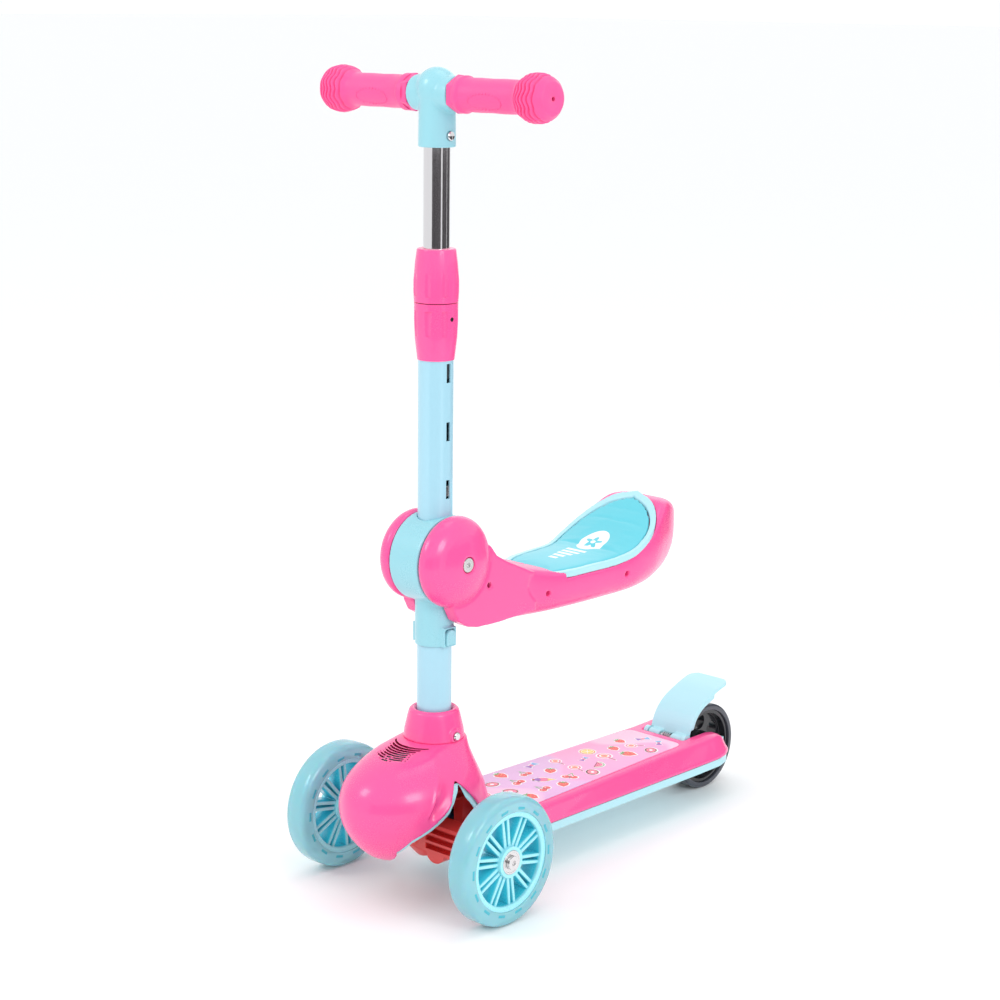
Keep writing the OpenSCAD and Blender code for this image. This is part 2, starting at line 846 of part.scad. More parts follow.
deck_front = 40;
deck_back = 358;
deck_end = 421;
tray_low = 38;
edge_z = 46;
cover_top = deck_top - 0.5;
brake_y = deck_back + 8;
brake_z = 64;
brake_pin_r = 2.5;
post_r = 6;
arm_in = 18;
lobe_in = 27.2;

// Rows of the deck: y, half width on top, half width below, height.
deck_rows = [
    [deck_front, 36, 42, cover_top], [60, 44, 50, cover_top], [90, 48, deck_w / 2 - 0.6, cover_top],
    [140, 47.5, deck_w / 2, cover_top], [250, 43, deck_w / 2, cover_top],
    [360, 39.5, deck_w / 2, cover_top], [392, 40, deck_w / 2 - 1, cover_top + 0.5],
    [406, 38, deck_w / 2 - 5, cover_top - 2], [416, 34, deck_w / 2 - 11, cover_top - 9],
    [deck_end, 31, deck_w / 2 - 17, cover_top - 17]];

// A section across the deck, with round shoulders.
function deck_section(row, inset, low, lid) =
    let (high = row[3] - lid, a = row[1] - inset, b = row[2] - inset, r = 4,
        right = [[b, low], [b, min(low + 3, high - 2)], [a + 3.4, high - min(5, (high - low) * 0.4)],
            [a + 1.6, high - 1.6], [a - r, high]])
    concat([for (p = right) [p[0], row[0], p[1]]],
        [for (i = [4 : -1 : 0]) [-right[i][0], row[0], right[i][1]]]);

module deck_body(inset, low, lid) {
    rows = smooth(deck_rows, 2);
    last = len(rows) - 1;
    skin([for (i = [0 : last])
        let (shift = i == 0 ? inset : i == last ? -inset : 0)
        deck_section([rows[i][0] + shift, rows[i][1], rows[i][2], rows[i][3]], inset, low, lid)]);
}

screw_spots = [[30, 100], [30, 200], [30, 300]];

module deck_cover() {
    color(pink) from_axle() {
        difference() {
            deck_body(0, edge_z, 0);
            difference() {
                deck_body(wall, edge_z - 5, wall);
                translate([-lobe_in - wall, deck_back - wall, 30]) cube([2 * (lobe_in + wall), 100, 80]);
            }
            translate([-lobe_in, deck_back, 30]) cube([2 * lobe_in, 100, 80]);
            translate([-head_leg - 0.3, deck_front - 5, 30]) cube([2 * head_leg + 0.6, 17.3, 80]);
            both_sides() translate([lobe_in - 0.7, wheelbase, rear_r]) along_x()
                cylinder(h = 8, r = 8.5);
        }
        both_sides() for (spot = screw_spots)
            translate([spot[0], spot[1], edge_z]) tube(cover_top - wall - edge_z, 4.5, 2.02);
    }
}

// The printed non-slip sheet.
module deck_panel() {
    color([0.86, 0.70, 0.90]) from_axle() translate([0, 0, cover_top]) linear_extrude(0.8)
        polygon([[-44, 84], [44, 84], [44.5, 120], [39.5, 240], [35, 344], [31, 350], [-31, 350],
            [-35, 344], [-39.5, 240], [-44.5, 120]]);
}

module deck_tray() {
    plan = [[42, deck_front + 1], [50, 62], [52, 92], [52.4, 140], [52.4, deck_back]];
    color(pale) from_axle() difference() {
        union() {
            difference() {
                translate([0, 0, tray_low]) linear_extrude(edge_z - 0.1 - tray_low)
                    polygon(concat(plan, [for (i = [4 : -1 : 0]) [-plan[i][0], plan[i][1]]]));
                translate([0, 0, tray_low + wall]) linear_extrude(20)
                    polygon([[-39, 66], [39, 66], [47, 92], [48, 140], [48, deck_back - 6],
                        [-48, deck_back - 6], [-48, 140], [-47, 92]]);
            }
            for (y = [150, 250])
                translate([-48, y, tray_low]) cube([96, 2, edge_z - tray_low - 0.5]);
            both_sides() {
                translate([arm_in, deck_back + 0.1, tray_low])
                    cube([lobe_in - 0.6 - arm_in, 69.9, 17]);
                translate([arm_in, deck_back - 8, tray_low]) linear_extrude(edge_z - 0.1 - tray_low)
                    polygon([[0, 0], [34.4, 0], [33.6, 40], [29, 56], [22, 66], [14, 70], [0, 70]]);
                translate([arm_in + 4, brake_y, brake_z]) along_x()
                    cylinder(h = lobe_in - 0.6 - arm_in - 4, r = post_r);
                translate([arm_in + 4, brake_y - post_r, 50])
                    cube([lobe_in - 0.6 - arm_in - 4, 2 * post_r, brake_z - 50]);
                for (spot = screw_spots)
                    translate([spot[0], spot[1], tray_low])
                        cylinder(h = edge_z - 0.1 - tray_low, r = 5);
            }
        }
        translate([-40, wheelbase, rear_r]) along_x() cylinder(h = 80, r = 4.02);
        both_sides() translate([lobe_in - 0.7, wheelbase, rear_r]) along_x()
            cylinder(h = 8, r = 8.5);
        translate([-40, brake_y, brake_z]) along_x() cylinder(h = 80, r = brake_pin_r + snug);
        both_sides() for (spot = concat(screw_spots, [head_screw])) {
            translate([spot[0], spot[1], 30]) cylinder(h = 30, r = 2.02);
            translate([spot[0], spot[1], 30]) cylinder(h = tray_low + 1.6 - 30, r = 4);
        }
    }
}

module deck_stiffener() {
    color(steel) from_axle() difference() {
        translate([-25, 70, cover_top - wall - 2.1]) cube([50, 280, 2]);
        for (y = [120 : 45 : 300])
            translate([0, y, 50]) cylinder(h = 20, r = 10);
    }
}

module deck_screws() {
    color(dark) from_axle() both_sides() for (spot = concat(screw_spots, [head_screw])) {
        translate([spot[0], spot[1], tray_low]) cylinder(h = 16, r = 2);
        translate([spot[0], spot[1], tray_low - 0.1]) cylinder(h = 1.6, r = 3.9);
    }
}

// ---------------------------------------------------------------- rear wheel

module rear_wheel_place() {
    from_axle() translate([0, wheelbase, rear_r]) along_x() children();
}

rear_core_r = rear_r - 6;

module rear_tyre() {
    color(dark) rear_wheel_place() rotate_extrude() intersection() {
        translate([rear_r - 12, 0]) round_rect(24, rear_wheel_w, 6);
        translate([rear_core_r, -50]) square([6, 100]);
    }
}

module rear_core() {
    half = rear_wheel_w / 2;
    color([0.12, 0.12, 0.13]) rear_wheel_place() difference() {
        union() {
            translate([0, 0, -half + 2]) tube(2 * half - 4, rear_core_r - 0.02, rear_core_r - 4);
            translate([0, 0, -half]) cylinder(h = 2 * half, r = 14.5);
            translate([0, 0, -5]) cylinder(h = 10, r = rear_core_r - 2);
        }
        for (i = [0 : rear_core_holes - 1])
            rotate([0, 0, i * 360 / rear_core_holes]) translate([24.6, 0, -10])
                cylinder(h = 20, r = 8);
        translate([0, 0, -half - 1]) cylinder(h = 8.2, r = 11.02);
        translate([0, 0, half - 7.2]) cylinder(h = 8.2, r = 11.02);
        translate([0, 0, -half]) cylinder(h = 2 * half, r = 9);
    }
}

module rear_bearings() {
    half = rear_wheel_w / 2;
    color(steel) rear_wheel_place() {
        ball_bearing(-half);
        ball_bearing(half - 7);
    }
}

module rear_spacer() {
    half = rear_wheel_w / 2;
    color(steel) rear_wheel_place() {
        translate([0, 0, -half + 7.2]) tube(2 * half - 14.4, 6, 4.02);
        translate([0, 0, half + 0.2]) tube(arm_in - half - 0.3, 6, 4.02);
        translate([0, 0, -arm_in + 0.1]) tube(arm_in - half - 0.3, 6, 4.02);
    }
}

module rear_axle_bolt() {
    color(steel) rear_wheel_place() {
        translate([0, 0, -33]) cylinder(h = 60, r = 4);
        translate([0, 0, lobe_in - 0.5]) cylinder(h = 4.5, r = 6.5, $fn = 6);
    }
}

module rear_axle_nut() {
    color(steel) rear_wheel_place() translate([0, 0, -lobe_in - 4.6]) difference() {
        cylinder(h = 5, r = 7.2, $fn = 6);
        translate([0, 0, -1]) cylinder(h = 8, r = 4.02);
    }
}

// ---------------------------------------------------------------- brake

// The blade's upper face, from the side.
blade_rows = [
    [370, 66], [373, 76], [380, 87.5], [391, 96.5], [404, 102.5], [420, 108.5], [439, 113.5]];

module blade(from_x, to_x, thick) {
    line = smooth(blade_rows, 3);
    n = len(line) - 1;
    rotate([90, 0, 90]) translate([0, 0, from_x]) linear_extrude(to_x - from_x)
        polygon(concat(line, [for (i = [n : -1 : 0])
            [line[i][0] + thick * (1 - i / n), line[i][1] - thick * i / n]]));
}

module brake_fender() {
    color(pale) from_axle() difference() {
        union() {
            difference() {
                blade(-25, 25, 3);
                both_sides() translate([14, 428.5, 60]) difference() {
                    cube([30, 30, 80]);
                    cylinder(h = 80, r = 11);
                }
            }
            intersection() {
                both_sides() blade(22, 25, 8);
                translate([-40, 371, 73]) cube([80, 42, 60]);
            }
            difference() {
                translate([-21.5, brake_y, brake_z]) along_x() cylinder(h = 43, r = 5);
                translate([-7.5, brake_y - 10, brake_z - 10]) cube([15, 20, 20]);
            }
            both_sides() translate([8, brake_y + 1, brake_z + 1]) cube([13.5, 4.5, 4]);
            translate([-9, 399, 93.5]) cube([18, 12, 6.5]);
        }
        translate([-40, brake_y, brake_z]) along_x() cylinder(h = 80, r = brake_pin_r + rub);
        both_sides() translate([arm_in + 3.7, brake_y, brake_z]) along_x()
            cylinder(h = 20, r = post_r + 0.5);
    }
}

module brake_pin() {
    color(steel) from_axle() translate([-26.4, brake_y, brake_z]) along_x()
        cylinder(h = 52.8, r = brake_pin_r);
}

module brake_spring() {
    wire = 0.6;
    coil = 3.6;
    turns = 4;
    color(steel) from_axle() translate([0, brake_y, brake_z]) along_x()
        skin([for (i = [0 : 12 * turns])
            let (turn = i * 30, rise = -5 + 10 * i / (12 * turns))
            [for (a = [0 : 45 : 315])
                [(coil + wire * cos(a)) * cos(turn), (coil + wire * cos(a)) * sin(turn),
                    rise + wire * sin(a)]]]);
}

// ---------------------------------------------------------------- the nodes

crossbar();
t_connector();
left_grip();
right_grip();
inner_tube();
inner_tube_bush();
t_button();
t_button_spring();
height_clip();
stem_tube();
collar_lower();
collar_upper();
collar_collet();
collar_pin();
stem_socket();
left_stem_button();
right_stem_button();
stem_button_spring();
seat_hub();
left_seat_release();
right_seat_release();
seat_pivot_bolt();
seat_pivot_nut();
seat_shell_left();
seat_shell_right();
seat_trim();
seat_cushion();
seat_screws();
nose_shell();
nose_trim();
steering_head();
front_truck();
kingpin();
kingpin_nut();
return_buffers();
front_spacers();
front_axle_bolts();
left_tyre();
left_core();
left_bearings();
left_led_ring();
right_tyre();
right_core();
right_bearings();
right_led_ring();
deck_cover();
deck_panel();
deck_tray();
deck_stiffener();
deck_screws();
rear_tyre();
rear_core();
rear_bearings();
rear_spacer();
rear_axle_bolt();
rear_axle_nut();
brake_fender();
brake_pin();
brake_spring();
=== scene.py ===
# %% [markdown]
# # A child's three-wheeled kick scooter with a folding seat
# The frame, with every size and joint, comes ready made. This lesson gives it its looks: moulded
# plastic shells, clear tyres, rubber grips, a soft seat pad and a printed deck. Everything is in
# metres, the scooter rolls towards -Y, and its left side is +X.

# %% Load the frame
import json
import math
import random
import bmesh
import bpy
import numpy as np
from mathutils import Matrix, Vector
from mathutils.bvhtree import BVHTree

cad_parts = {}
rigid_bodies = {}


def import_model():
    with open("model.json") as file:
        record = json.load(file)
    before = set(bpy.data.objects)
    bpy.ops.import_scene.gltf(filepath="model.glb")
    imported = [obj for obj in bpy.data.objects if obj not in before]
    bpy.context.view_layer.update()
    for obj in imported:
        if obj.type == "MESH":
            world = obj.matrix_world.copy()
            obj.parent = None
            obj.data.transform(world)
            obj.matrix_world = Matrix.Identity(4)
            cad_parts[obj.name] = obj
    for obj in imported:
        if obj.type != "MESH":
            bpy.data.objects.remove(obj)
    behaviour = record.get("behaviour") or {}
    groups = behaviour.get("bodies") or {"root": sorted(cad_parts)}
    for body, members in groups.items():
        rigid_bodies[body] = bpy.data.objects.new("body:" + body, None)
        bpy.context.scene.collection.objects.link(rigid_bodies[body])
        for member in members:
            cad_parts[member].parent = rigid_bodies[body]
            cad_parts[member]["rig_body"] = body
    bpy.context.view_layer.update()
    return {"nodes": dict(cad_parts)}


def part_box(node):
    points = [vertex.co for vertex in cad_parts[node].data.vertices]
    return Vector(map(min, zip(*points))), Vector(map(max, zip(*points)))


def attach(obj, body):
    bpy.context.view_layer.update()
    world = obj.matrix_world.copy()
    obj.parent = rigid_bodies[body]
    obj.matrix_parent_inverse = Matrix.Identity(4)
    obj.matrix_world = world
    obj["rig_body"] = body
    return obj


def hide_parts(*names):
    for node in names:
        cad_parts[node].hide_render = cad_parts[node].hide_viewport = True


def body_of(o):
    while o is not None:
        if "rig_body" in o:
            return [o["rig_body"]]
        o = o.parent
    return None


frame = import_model()
MM = 0.001


def middle(node):
    """The middle of a frame part's box."""
    low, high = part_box(node)
    return (low + high) / 2


stem = middle("stem_tube")
front_hub = middle("left_core")
rear_hub = middle("rear_core")
bar = middle("crossbar")
nose_foot = Vector((0, front_hub.y, 0))
print("front hub", front_hub, "rear hub", rear_hub, "bar", bar)

# %% [markdown]
# ## Camera, floor and light
# A long lens stands low on the scooter's front left, as in a catalogue. The floor is plain and pale.
# Large soft lamps give the gloss its broad highlights. Three dark cards that only reflections
# see stand round the stem, because chrome shows what is round it, and in a white room it would look
# like white plastic. The gap between two cards makes the bright line down the chromed tube.

# %% Camera
AZIMUTH, ELEVATION, ROLL = math.radians(42.515), math.radians(12.482), math.radians(0.661)
back = Vector((math.sin(AZIMUTH) * math.cos(ELEVATION),
               -math.cos(AZIMUTH) * math.cos(ELEVATION), math.sin(ELEVATION)))
right = Vector((math.cos(AZIMUTH), math.sin(AZIMUTH), 0))
up = back.cross(right)
look_at = Vector((0.02916, -0.11314, 0.36409))
camera = bpy.data.objects.new("camera", bpy.data.cameras.new("camera"))
bpy.context.scene.collection.objects.link(camera)
SENSOR, LENS, DISTANCE = 36, 82.39, 2.0757
camera.data.sensor_width, camera.data.lens = SENSOR, LENS
turned_right = right * math.cos(ROLL) + up * math.sin(ROLL)
turned_up = up * math.cos(ROLL) - right * math.sin(ROLL)
camera.matrix_world = Matrix.Translation(look_at + back * DISTANCE) @ Matrix(
    (turned_right, turned_up, back)).transposed().to_4x4()
bpy.context.scene.camera = camera
print("the camera stands at", camera.matrix_world.translation)


# %% Mesh helpers
def add_object(name, mesh):
    made = bpy.data.objects.new(name, mesh)
    bpy.context.scene.collection.objects.link(made)
    return made


def add_mesh(name, points, faces):
    mesh = bpy.data.meshes.new(name)
    mesh.from_pydata([tuple(point) for point in points], [], faces)
    mesh.update()
    return add_object(name, mesh)


def bake(piece):
    """Turns a piece with its modifiers into a plain mesh."""
    graph = bpy.context.evaluated_depsgraph_get()
    made = bpy.data.meshes.new_from_object(piece.evaluated_get(graph))
    old, piece.data = piece.data, made
    piece.modifiers.clear()
    bpy.data.meshes.remove(old)
    made.name = piece.name
    return piece


def shade(piece, angle=35):
    """Smooth shading, with a hard line only where two faces meet at more than this angle."""
    piece.data.shade_smooth()
    piece.data.set_sharp_from_angle(angle=math.radians(angle))
    return piece


def points_of(piece):
    found = np.empty(len(piece.data.vertices) * 3)
    piece.data.vertices.foreach_get("co", found)
    return found.reshape(-1, 3)


def move_points(piece, points):
    piece.data.vertices.foreach_set("co", np.asarray(points, np.float32).ravel())
    piece.data.update()


# %% Floor, lamps and cards
FAR = 60
floor = add_mesh("floor", [(-FAR, -FAR, 0), (FAR, -FAR, 0), (FAR, FAR, 0), (-FAR, FAR, 0)],
                 [(0, 1, 2, 3)])


def lamp(name, spot, aim, size, power, tint=(1, 1, 1)):
    data = bpy.data.lights.new(name, "AREA")
    data.shape, data.size, data.energy, data.color = "SQUARE", size, power, tint
    made = bpy.data.objects.new(name, data)
    made.location = spot
    made.rotation_euler = (Vector(aim) - Vector(spot)).to_track_quat("-Z", "Y").to_euler()
    bpy.context.scene.collection.objects.link(made)


centre = (0, 0, 0.35)
lamp("key", (-1.1, -2.0, 1.9), centre, 0.8, 12)
lamp("fill", (2.3, -0.7, 1.5), centre, 0.9, 16)
lamp("top", (0.2, 0.3, 2.6), centre, 1.2, 5)
lamp("back", (-1.2, 2.0, 1.4), centre, 1.4, 3)


def card(name, spot, aim, width, height):
    """A dark card that only reflections see."""
    made = add_mesh(name, [(-width / 2, -height / 2, 0), (width / 2, -height / 2, 0),
                           (width / 2, height / 2, 0), (-width / 2, height / 2, 0)], [(0, 1, 2, 3)])
    made.matrix_world = Matrix.Translation(spot) @ (
        Vector(aim) - Vector(spot)).to_track_quat("-Z", "Y").to_matrix().to_4x4()
    for ray in ("visible_camera", "visible_diffuse", "visible_shadow", "visible_transmission"):
        setattr(made, ray, False)
    return made


def card_round_stem(name, turn, width, height=0.72, distance=1.4, z=0.26):
    turn = math.radians(turn)
    spot = Vector((math.sin(turn) * distance, stem.y - math.cos(turn) * distance, z))
    return card(name, spot, (0, stem.y, z), width, height)


cards = [card_round_stem("card_near", 40, 2.1), card_round_stem("card_side", 114, 1.25),
         card_round_stem("card_far", 166, 1.25)]
world = bpy.data.worlds.new("room")
world.use_nodes = True
world.node_tree.nodes["Background"].inputs["Color"].default_value = (0.97, 0.985, 1.0, 1)
world.node_tree.nodes["Background"].inputs["Strength"].default_value = 1.04
bpy.context.scene.world = world
print("four lamps, three cards and a pale room")

# %% [markdown]
# ## Writing finishes as sums
# A finish is a Principled shader with a few pattern nodes in front. Joined up by hand in the editor,
# such maths is hard to read. Here a small class wraps a socket, so that patterns are added and
# multiplied in plain Python, and each sum adds its own Math node.


# %% Sums on sockets
class Sum:
    def __init__(self, finish, socket):
        self.finish, self.socket = finish, socket

    def _math(self, operation, *values):
        return self.finish.node("ShaderNodeMath", {"operation": operation}, dict(enumerate(values)))[0]

    def __add__(self, other): return self._math("ADD", self, other)
    def __radd__(self, other): return self._math("ADD", other, self)
    def __sub__(self, other): return self._math("SUBTRACT", self, other)
    def __rsub__(self, other): return self._math("SUBTRACT", other, self)
    def __mul__(self, other): return self._math("MULTIPLY", self, other)
    def __rmul__(self, other): return self._math("MULTIPLY", other, self)
    def __truediv__(self, other): return self._math("DIVIDE", self, other)
    def __pow__(self, other): return self._math("POWER", self, other)
    def sin(self): return self._math("SINE", self)
    def cos(self): return self._math("COSINE", self)
    def size(self): return self._math("ABSOLUTE", self)
    def above(self, other): return self._math("GREATER_THAN", self, other)
    def most(self, other): return self._math("MAXIMUM", self, other)
    def least(self, other): return self._math("MINIMUM", self, other)
    def turn(self, other): return self._math("ARCTAN2", self, other)


class Finish:
    """A Principled material. Uniform values are set on its own sockets."""

    def __init__(self, name, colour, **uniform):
        self.material = bpy.data.materials.new(name)
        self.material.use_nodes = True
        self.tree = self.material.node_tree
        self.shader = self.tree.nodes["Principled BSDF"]
        self.shader.inputs["Base Color"].default_value = (*colour, 1)
        for socket, value in uniform.items():
            self.shader.inputs[socket.replace("_", " ")].default_value = value
        self.place = self.node("ShaderNodeTexCoord")["Object"].socket
        self.colour = colour

    def node(self, kind, settings=None, sockets=None):
        made = self.tree.nodes.new(kind)
        for name, value in (settings or {}).items():
            setattr(made, name, value)
        for name, value in (sockets or {}).items():
            self.put(value, made.inputs[name])
        return {key: Sum(self, output) for index, output in enumerate(made.outputs)
                for key in (index, output.name)}

    def put(self, value, socket):
        if isinstance(value, Sum):
            value = value.socket
        if isinstance(value, bpy.types.NodeSocket):
            self.tree.links.new(value, socket)
        else:
            socket.default_value = value

    def noise(self, scale, detail=2.0, stretch=(1, 1, 1)):
        where = self.node("ShaderNodeMapping", {}, {"Vector": self.place, "Scale": stretch})["Vector"]
        return self.node("ShaderNodeTexNoise", {},
                         {"Vector": where, "Scale": scale, "Detail": detail})["Fac"]

    def axes(self):
        parts = self.node("ShaderNodeSeparateXYZ", {}, {"Vector": self.place})
        return parts["X"], parts["Y"], parts["Z"]

    def mix(self, amount, one, two):
        """One colour turning into another."""
        made = self.node("ShaderNodeMix", {"data_type": "RGBA"}, {0: amount})
        mixer = self.tree.nodes[-1]
        for value, socket in ((one, mixer.inputs[6]), (two, mixer.inputs[7])):
            self.put((*value, 1) if isinstance(value, tuple) else value, socket)
        return made[2]

    def paint(self, colour):
        self.put(colour, self.shader.inputs["Base Color"])

    def roughen(self, value):
        self.put(value, self.shader.inputs["Roughness"])

    def bump(self, height, distance, strength=1.0):
        made = self.node("ShaderNodeBump", {}, {"Height": height, "Distance": distance,
                                                "Strength": strength})
        self.put(made["Normal"], self.shader.inputs["Normal"])


def darker(colour, share):
    return tuple(channel * share for channel in colour)


# %% [markdown]
# ## Moulded plastic
# The shells are injection moulded and come out of a polished tool. Such plastic isn't one flat
# colour: the pigment flows a little unevenly, the gloss varies by a few per cent where hands have
# touched it, and the surface has a very fine ripple. All three come from noise at three scales.


# %% Moulded plastic
def moulded(name, colour, gloss=0.24, ripple=0.03, depth=0.12, glow=0.0):
    finish = Finish(name, colour, IOR=1.49, Coat_Weight=0.25, Coat_Roughness=0.12,
                    Subsurface_Weight=glow, Subsurface_Scale=0.004,
                    Subsurface_Radius=(1.0, 0.7, 0.6))
    flow = finish.noise(14, 3)
    specks = finish.noise(900, 2)
    finish.paint(finish.mix(flow * depth + specks * 0.02, colour, darker(colour, 0.9)))
    finish.roughen(flow * 0.08 + specks * 0.03 + (gloss - 0.06))
    finish.bump(finish.noise(300, 2) * 0.35 + flow, ripple * MM, 0.35)
    return finish.material


pink_plastic = moulded("pink_plastic", (0.985, 0.085, 0.315), gloss=0.27, glow=0.06)
pale_plastic = moulded("pale_plastic", (0.42, 0.73, 0.80), gloss=0.30, glow=0.10)
hub_plastic = moulded("hub_plastic", (0.29, 0.61, 0.69), gloss=0.28, glow=0.08)
# Painted shade: the dashes on the front tyres are flat marks in dark turquoise, for openings seen through
# the clear tyre.
window_plastic = moulded("window_plastic", (0.05, 0.42, 0.52), gloss=0.2)
red_plastic = moulded("red_plastic", (0.78, 0.05, 0.045), gloss=0.36, ripple=0.06)
black_plastic = moulded("black_plastic", (0.018, 0.018, 0.022), gloss=0.34, ripple=0.05)
black_gloss = moulded("black_gloss", (0.012, 0.012, 0.016), gloss=0.20)
print("eight moulded plastics")

# %% [markdown]
# ## Metal, paint and rubber
# Chrome is nearly white and very smooth, with faint polishing lines along the tube. The zinc on bolts
# is duller and patchy. The stem's powder coat has the slight orange peel of paint that melted and
# flowed. Rubber is rougher, and its grain is fine and even.


# %% Metals
def metal(name, colour, rough, patch=0.12, line=0.0, coat=0.0):
    finish = Finish(name, colour, Metallic=1.0, Coat_Weight=coat)
    blotch = finish.noise(60, 4)
    lines = finish.noise(500, 2, (1, 1, 0.04))
    finish.paint(finish.mix(blotch * patch, colour, darker(colour, 0.7)))
    finish.roughen(blotch * patch * 0.6 + lines * line + rough)
    finish.bump(lines + blotch, 0.004 * MM, 0.25)
    return finish.material


chrome = metal("chrome", (0.74, 0.72, 0.73), 0.05, 0.05, 0.06)
zinc = metal("zinc", (0.66, 0.66, 0.67), 0.24)
bright_steel = metal("bright_steel", (0.74, 0.73, 0.73), 0.16, 0.10)
black_steel = metal("black_steel", (0.07, 0.065, 0.075), 0.34)
magnet = metal("magnet", (0.20, 0.19, 0.20), 0.42, 0.3)


# %% Paint
def powder_coat(name, colour):
    finish = Finish(name, colour, IOR=1.5, Coat_Weight=0.6, Coat_Roughness=0.07)
    peel = finish.noise(260, 2)
    cloud = finish.noise(9, 2)
    finish.paint(finish.mix(cloud * 0.2, colour, darker(colour, 0.9)))
    finish.roughen(peel * 0.08 + 0.26)
    finish.bump(peel, 0.02 * MM, 0.4)
    return finish.material


stem_paint = powder_coat("stem_paint", (0.36, 0.63, 0.75))


# %% Rubber
def rubber(name, colour, rough=0.48, grain=0.05, sheen=0.15):
    finish = Finish(name, colour, IOR=1.47, Sheen_Weight=sheen, Sheen_Roughness=0.4,
                    Subsurface_Weight=0.05, Subsurface_Scale=0.003)
    wear = finish.noise(25, 4)
    pores = finish.noise(1400, 2)
    finish.paint(finish.mix(wear * 0.25, colour, darker(colour, 0.82)))
    finish.roughen(wear * 0.14 + (rough - 0.06))
    finish.bump(pores * 0.7 + wear * 0.5, grain * MM, 0.6)
    return finish.material


grip_rubber = rubber("grip_rubber", (0.96, 0.085, 0.31))
black_rubber = rubber("black_rubber", (0.02, 0.02, 0.02), 0.62)

# %% [markdown]
# ## Clear tyre
# The tyres are cast polyurethane, milky but clear enough to show the core's edge inside. Half of
# the light goes through and half is scattered, so the finish has both transmission and subsurface
# light. Faint clouds vary how milky the surface looks.


# %% Clear tyre
def cast_tyre(name, colour, clear, rough):
    finish = Finish(name, colour, IOR=1.42, Transmission_Weight=clear, Subsurface_Weight=0.35,
                    Subsurface_Scale=0.006, Coat_Weight=0.3, Coat_Roughness=0.1)
    milk = finish.noise(16, 3)
    scuff = finish.noise(240, 4)
    finish.paint(finish.mix(milk * 0.5, colour, darker(colour, 0.9)))
    finish.roughen(milk * 0.06 + scuff * 0.10 + rough)
    finish.bump(scuff, 0.02 * MM, 0.35)
    return finish.material


clear_tyre = cast_tyre("clear_tyre", (0.36, 0.77, 0.85), 0.40, 0.08)
grey_tyre = moulded("grey_tyre", (0.055, 0.058, 0.075), gloss=0.25, ripple=0.06, depth=0.3)
print("tyre finishes made")

# %% [markdown]
# ## Floor and cards
# The floor is a very light grey with a faint unevenness, so that it doesn't look like a computer's.

# %% Floor and card finishes
paper = Finish("paper", (0.94, 0.94, 0.94), Roughness=0.8)
paper.paint(paper.mix(paper.noise(3, 3) * 0.15, (0.97, 0.97, 0.97), (0.94, 0.945, 0.95)))
floor.data.materials.append(paper.material)
dark_card = Finish("dark_card", (0.05, 0.045, 0.05), Roughness=0.9)
dark_card.paint(dark_card.mix(dark_card.noise(3), (0.13, 0.12, 0.125), (0.015, 0.014, 0.016)))
for each in cards:
    each.data.materials.append(dark_card.material)

# %% [markdown]
# ## From frame part to finished part
# Most pieces of the real scooter have no sharp edges: every moulding and every turned part has a
# small radius that catches the light. There are two ways to get it. Turned and cut parts get a
# Bevel modifier. Mouldings are remeshed into small even squares and relaxed a little, which rounds
# every rim and fills every corner as a mould maker would.


# %% Copies of frame parts
def copy_of(node, name):
    """A copy of a frame part with its loose triangles joined up."""
    source = frame["nodes"][node].data
    corners = np.empty(len(source.vertices) * 3, np.float32)
    source.vertices.foreach_get("co", corners)
    made = add_mesh(name, corners.reshape(-1, 3), [tuple(face.vertices) for face in source.polygons])
    shape = bmesh.new()
    shape.from_mesh(made.data)
    bmesh.ops.remove_doubles(shape, verts=shape.verts, dist=0.002 * MM)
    shape.to_mesh(made.data)
    shape.free()
    return made


def edged(node, name, width, angle=32):
    """A turned or cut part: each sharp edge gets a small radius."""
    piece = copy_of(node, name)
    shape = bmesh.new()
    shape.from_mesh(piece.data)
    bmesh.ops.dissolve_limit(shape, angle_limit=math.radians(0.6), verts=shape.verts,
                             edges=shape.edges)
    shape.to_mesh(piece.data)
    shape.free()
    bevel = piece.modifiers.new("radius", "BEVEL")
    bevel.width, bevel.segments = width, 2
    bevel.limit_method, bevel.angle_limit = "ANGLE", math.radians(angle)
    bevel.miter_outer = "MITER_ARC"
    piece.data.shade_smooth()
    even = piece.modifiers.new("even", "WEIGHTED_NORMAL")
    even.keep_sharp = True
    return bake(piece)


def remoulded(node, name, voxel, rounds, guide=None):
    """A moulded part: small even faces, then a few rounds of relaxing."""
    piece = copy_of(node, name)
    grid = piece.modifiers.new("grid", "REMESH")
    grid.mode, grid.voxel_size = "VOXEL", voxel
    bake(piece)
    if guide:
        lie_on(piece, guide, 0.9 * MM)
    relax = piece.modifiers.new("relax", "SMOOTH")
    relax.factor, relax.iterations = 0.5, rounds
    bake(piece)
    piece.data.shade_smooth()
    return piece


def lie_on(piece, guide, reach):
    """Draws points that are nearly on the guide surface on to it, so that no flat facets stay."""
    points = points_of(piece)
    for index, vertex in enumerate(piece.data.vertices):
        spot, normal = guide.find_nearest(vertex.co, reach)[:2]
        if spot is not None and abs(normal.dot(vertex.normal)) > 0.9:
            points[index] = spot
    move_points(piece, points)


placed = []


def place(piece, material, node, body=None, extra=()):
    """Gives a piece its finish and body, and lets it stand for its frame parts."""
    if material:
        piece.data.materials.clear()
        piece.data.materials.append(material)
    body = body or body_of(frame["nodes"][node])[0]
    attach(piece, body)
    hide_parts(node, *extra)
    placed.append(piece)
    return piece


# %% [markdown]
# ## Smooth guides for the big shells
# The nose and the seat are lofts: a list of outlines with skin stretched over them. The frame holds
# them with flat facets a centimetre long, which a glossy surface would show. Here the same outlines
# are joined by smooth curves both ways, and the remeshed shells are drawn on to that surface.


